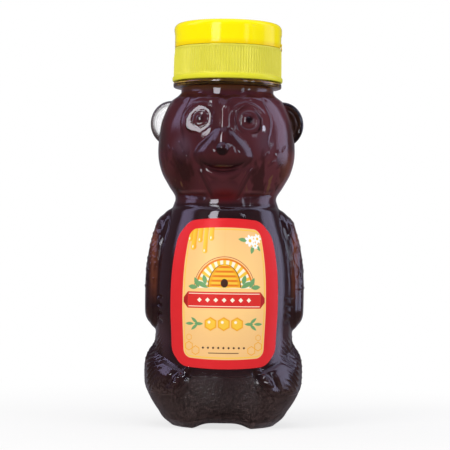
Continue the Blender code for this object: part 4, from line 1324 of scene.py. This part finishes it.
# Each panel of the studio as glossy surfaces see it: where its middle is, in degrees from the face towards
# the bear's left and above level, its half width and half height, how soft its edge is, and its light
PANELS = [
    (-87, 44, 14, 30, 6, (1.6, 1.4, 2.3)),
    (100, 28, 16, 36, 7, (1.65, 1.6, 2.35)),
    (-25, 28, 9, 23, 2, (9.0, 8.8, 9.6)),
    (41, 18, 4, 13, 2, (2.6, 2.7, 3.4)),
    (57, 13, 3, 3, 1.5, (11.0, 12.0, 14.5)),
    (0, 84, 200, 26, 10, (0.8, 0.7, 1.05)),
]
ROOM = (0.13, 0.095, 0.135)
ROOM_FLOOR = (0.17, 0.115, 0.11)
ROOM_BACK = (0.22, 0.20, 0.24)
EVEN_LIGHT = (0.60, 0.59, 0.61)
WHITE = (1.0, 1.0, 1.0)


def make_world():
    """White to the camera and through glass, even light on matt surfaces, and soft panels in glossy ones."""
    world = bpy.data.worlds.new("studio")
    world.use_nodes = True
    bpy.context.scene.world = world
    tree = world.node_tree
    x, y, z = axes(tree, add_node(tree, "ShaderNodeTexCoord").outputs["Generated"])
    azimuth = x.math("ARCTAN2", y * -1.0) * (180 / pi)
    elevation = z.math("ARCSINE") * (180 / pi)
    room = mix_node(tree, elevation.below(-4.0, 5.0), ROOM, ROOM_FLOOR)
    room = mix_node(tree, azimuth.abs().above(142.0, 10.0), room, ROOM_BACK)
    for middle, height, half_width, half_height, blur, light in PANELS:
        share = azimuth.near(middle, half_width, blur) * elevation.near(height, half_height, blur)
        room = mix_node(tree, share, room, light)
    seen, glossy = ray_kinds(tree)
    shown = mix_node(tree, glossy, EVEN_LIGHT, room)
    shown = mix_node(tree, seen, shown, WHITE)
    tree.links.new(shown, tree.nodes["Background"].inputs["Color"])


LIGHT_TARGET = Vector((0, 0, 0.08))


def softbox(name, azimuth, elevation, distance, width, height, power, tint):
    """A soft panel that faces the bear, at an azimuth turned from the face towards +X."""
    data = bpy.data.lights.new(name, "AREA")
    data.shape = "RECTANGLE"
    data.size = width
    data.size_y = height
    data.energy = power
    data.color = tint
    made = linked(name, data)
    made.visible_glossy = False
    side, rise = radians(azimuth), radians(elevation)
    level = distance * cos(rise)
    made.location = LIGHT_TARGET + Vector((level * sin(side), -level * cos(side), distance * sin(rise)))
    made.rotation_euler = (LIGHT_TARGET - made.location).to_track_quat("-Z", "Y").to_euler()


CAMERA_DISTANCE = 0.676
CAMERA_HEIGHT = 0.0661
CAMERA_AZIMUTH = radians(1.0)
CAMERA_ROLL = radians(0.85)
CAMERA_LENS = 142.4
CAMERA_SHIFT = 25 / 450


def make_camera():
    """At the photograph's angle: slightly from the bear's left, level with the label, and a little rolled."""
    data = bpy.data.cameras.new("camera")
    data.sensor_width = 36
    data.lens = CAMERA_LENS
    data.shift_y = CAMERA_SHIFT
    made = linked("camera", data)
    side, ahead = CAMERA_DISTANCE * sin(CAMERA_AZIMUTH), -CAMERA_DISTANCE * cos(CAMERA_AZIMUTH)
    level = Matrix.Rotation(CAMERA_AZIMUTH, 4, "Z") @ Matrix.Rotation(radians(90), 4, "X")
    place = Matrix.Translation((side, ahead, CAMERA_HEIGHT))
    made.matrix_world = place @ (level @ Matrix.Rotation(CAMERA_ROLL, 4, "Z"))
    bpy.context.scene.camera = made


make_floor()
make_world()
softbox("key", -46, 30, 1.1, 0.4, 0.5, 4.7, (1.0, 0.99, 0.97))
softbox("fill", 64, 18, 1.2, 0.6, 0.6, 3.6, (0.96, 0.97, 1.0))
softbox("top", 10, 80, 1.0, 0.6, 0.5, 2.5, (1.0, 1.0, 1.0))
make_camera()
bpy.context.scene.view_settings.view_transform = "Standard"
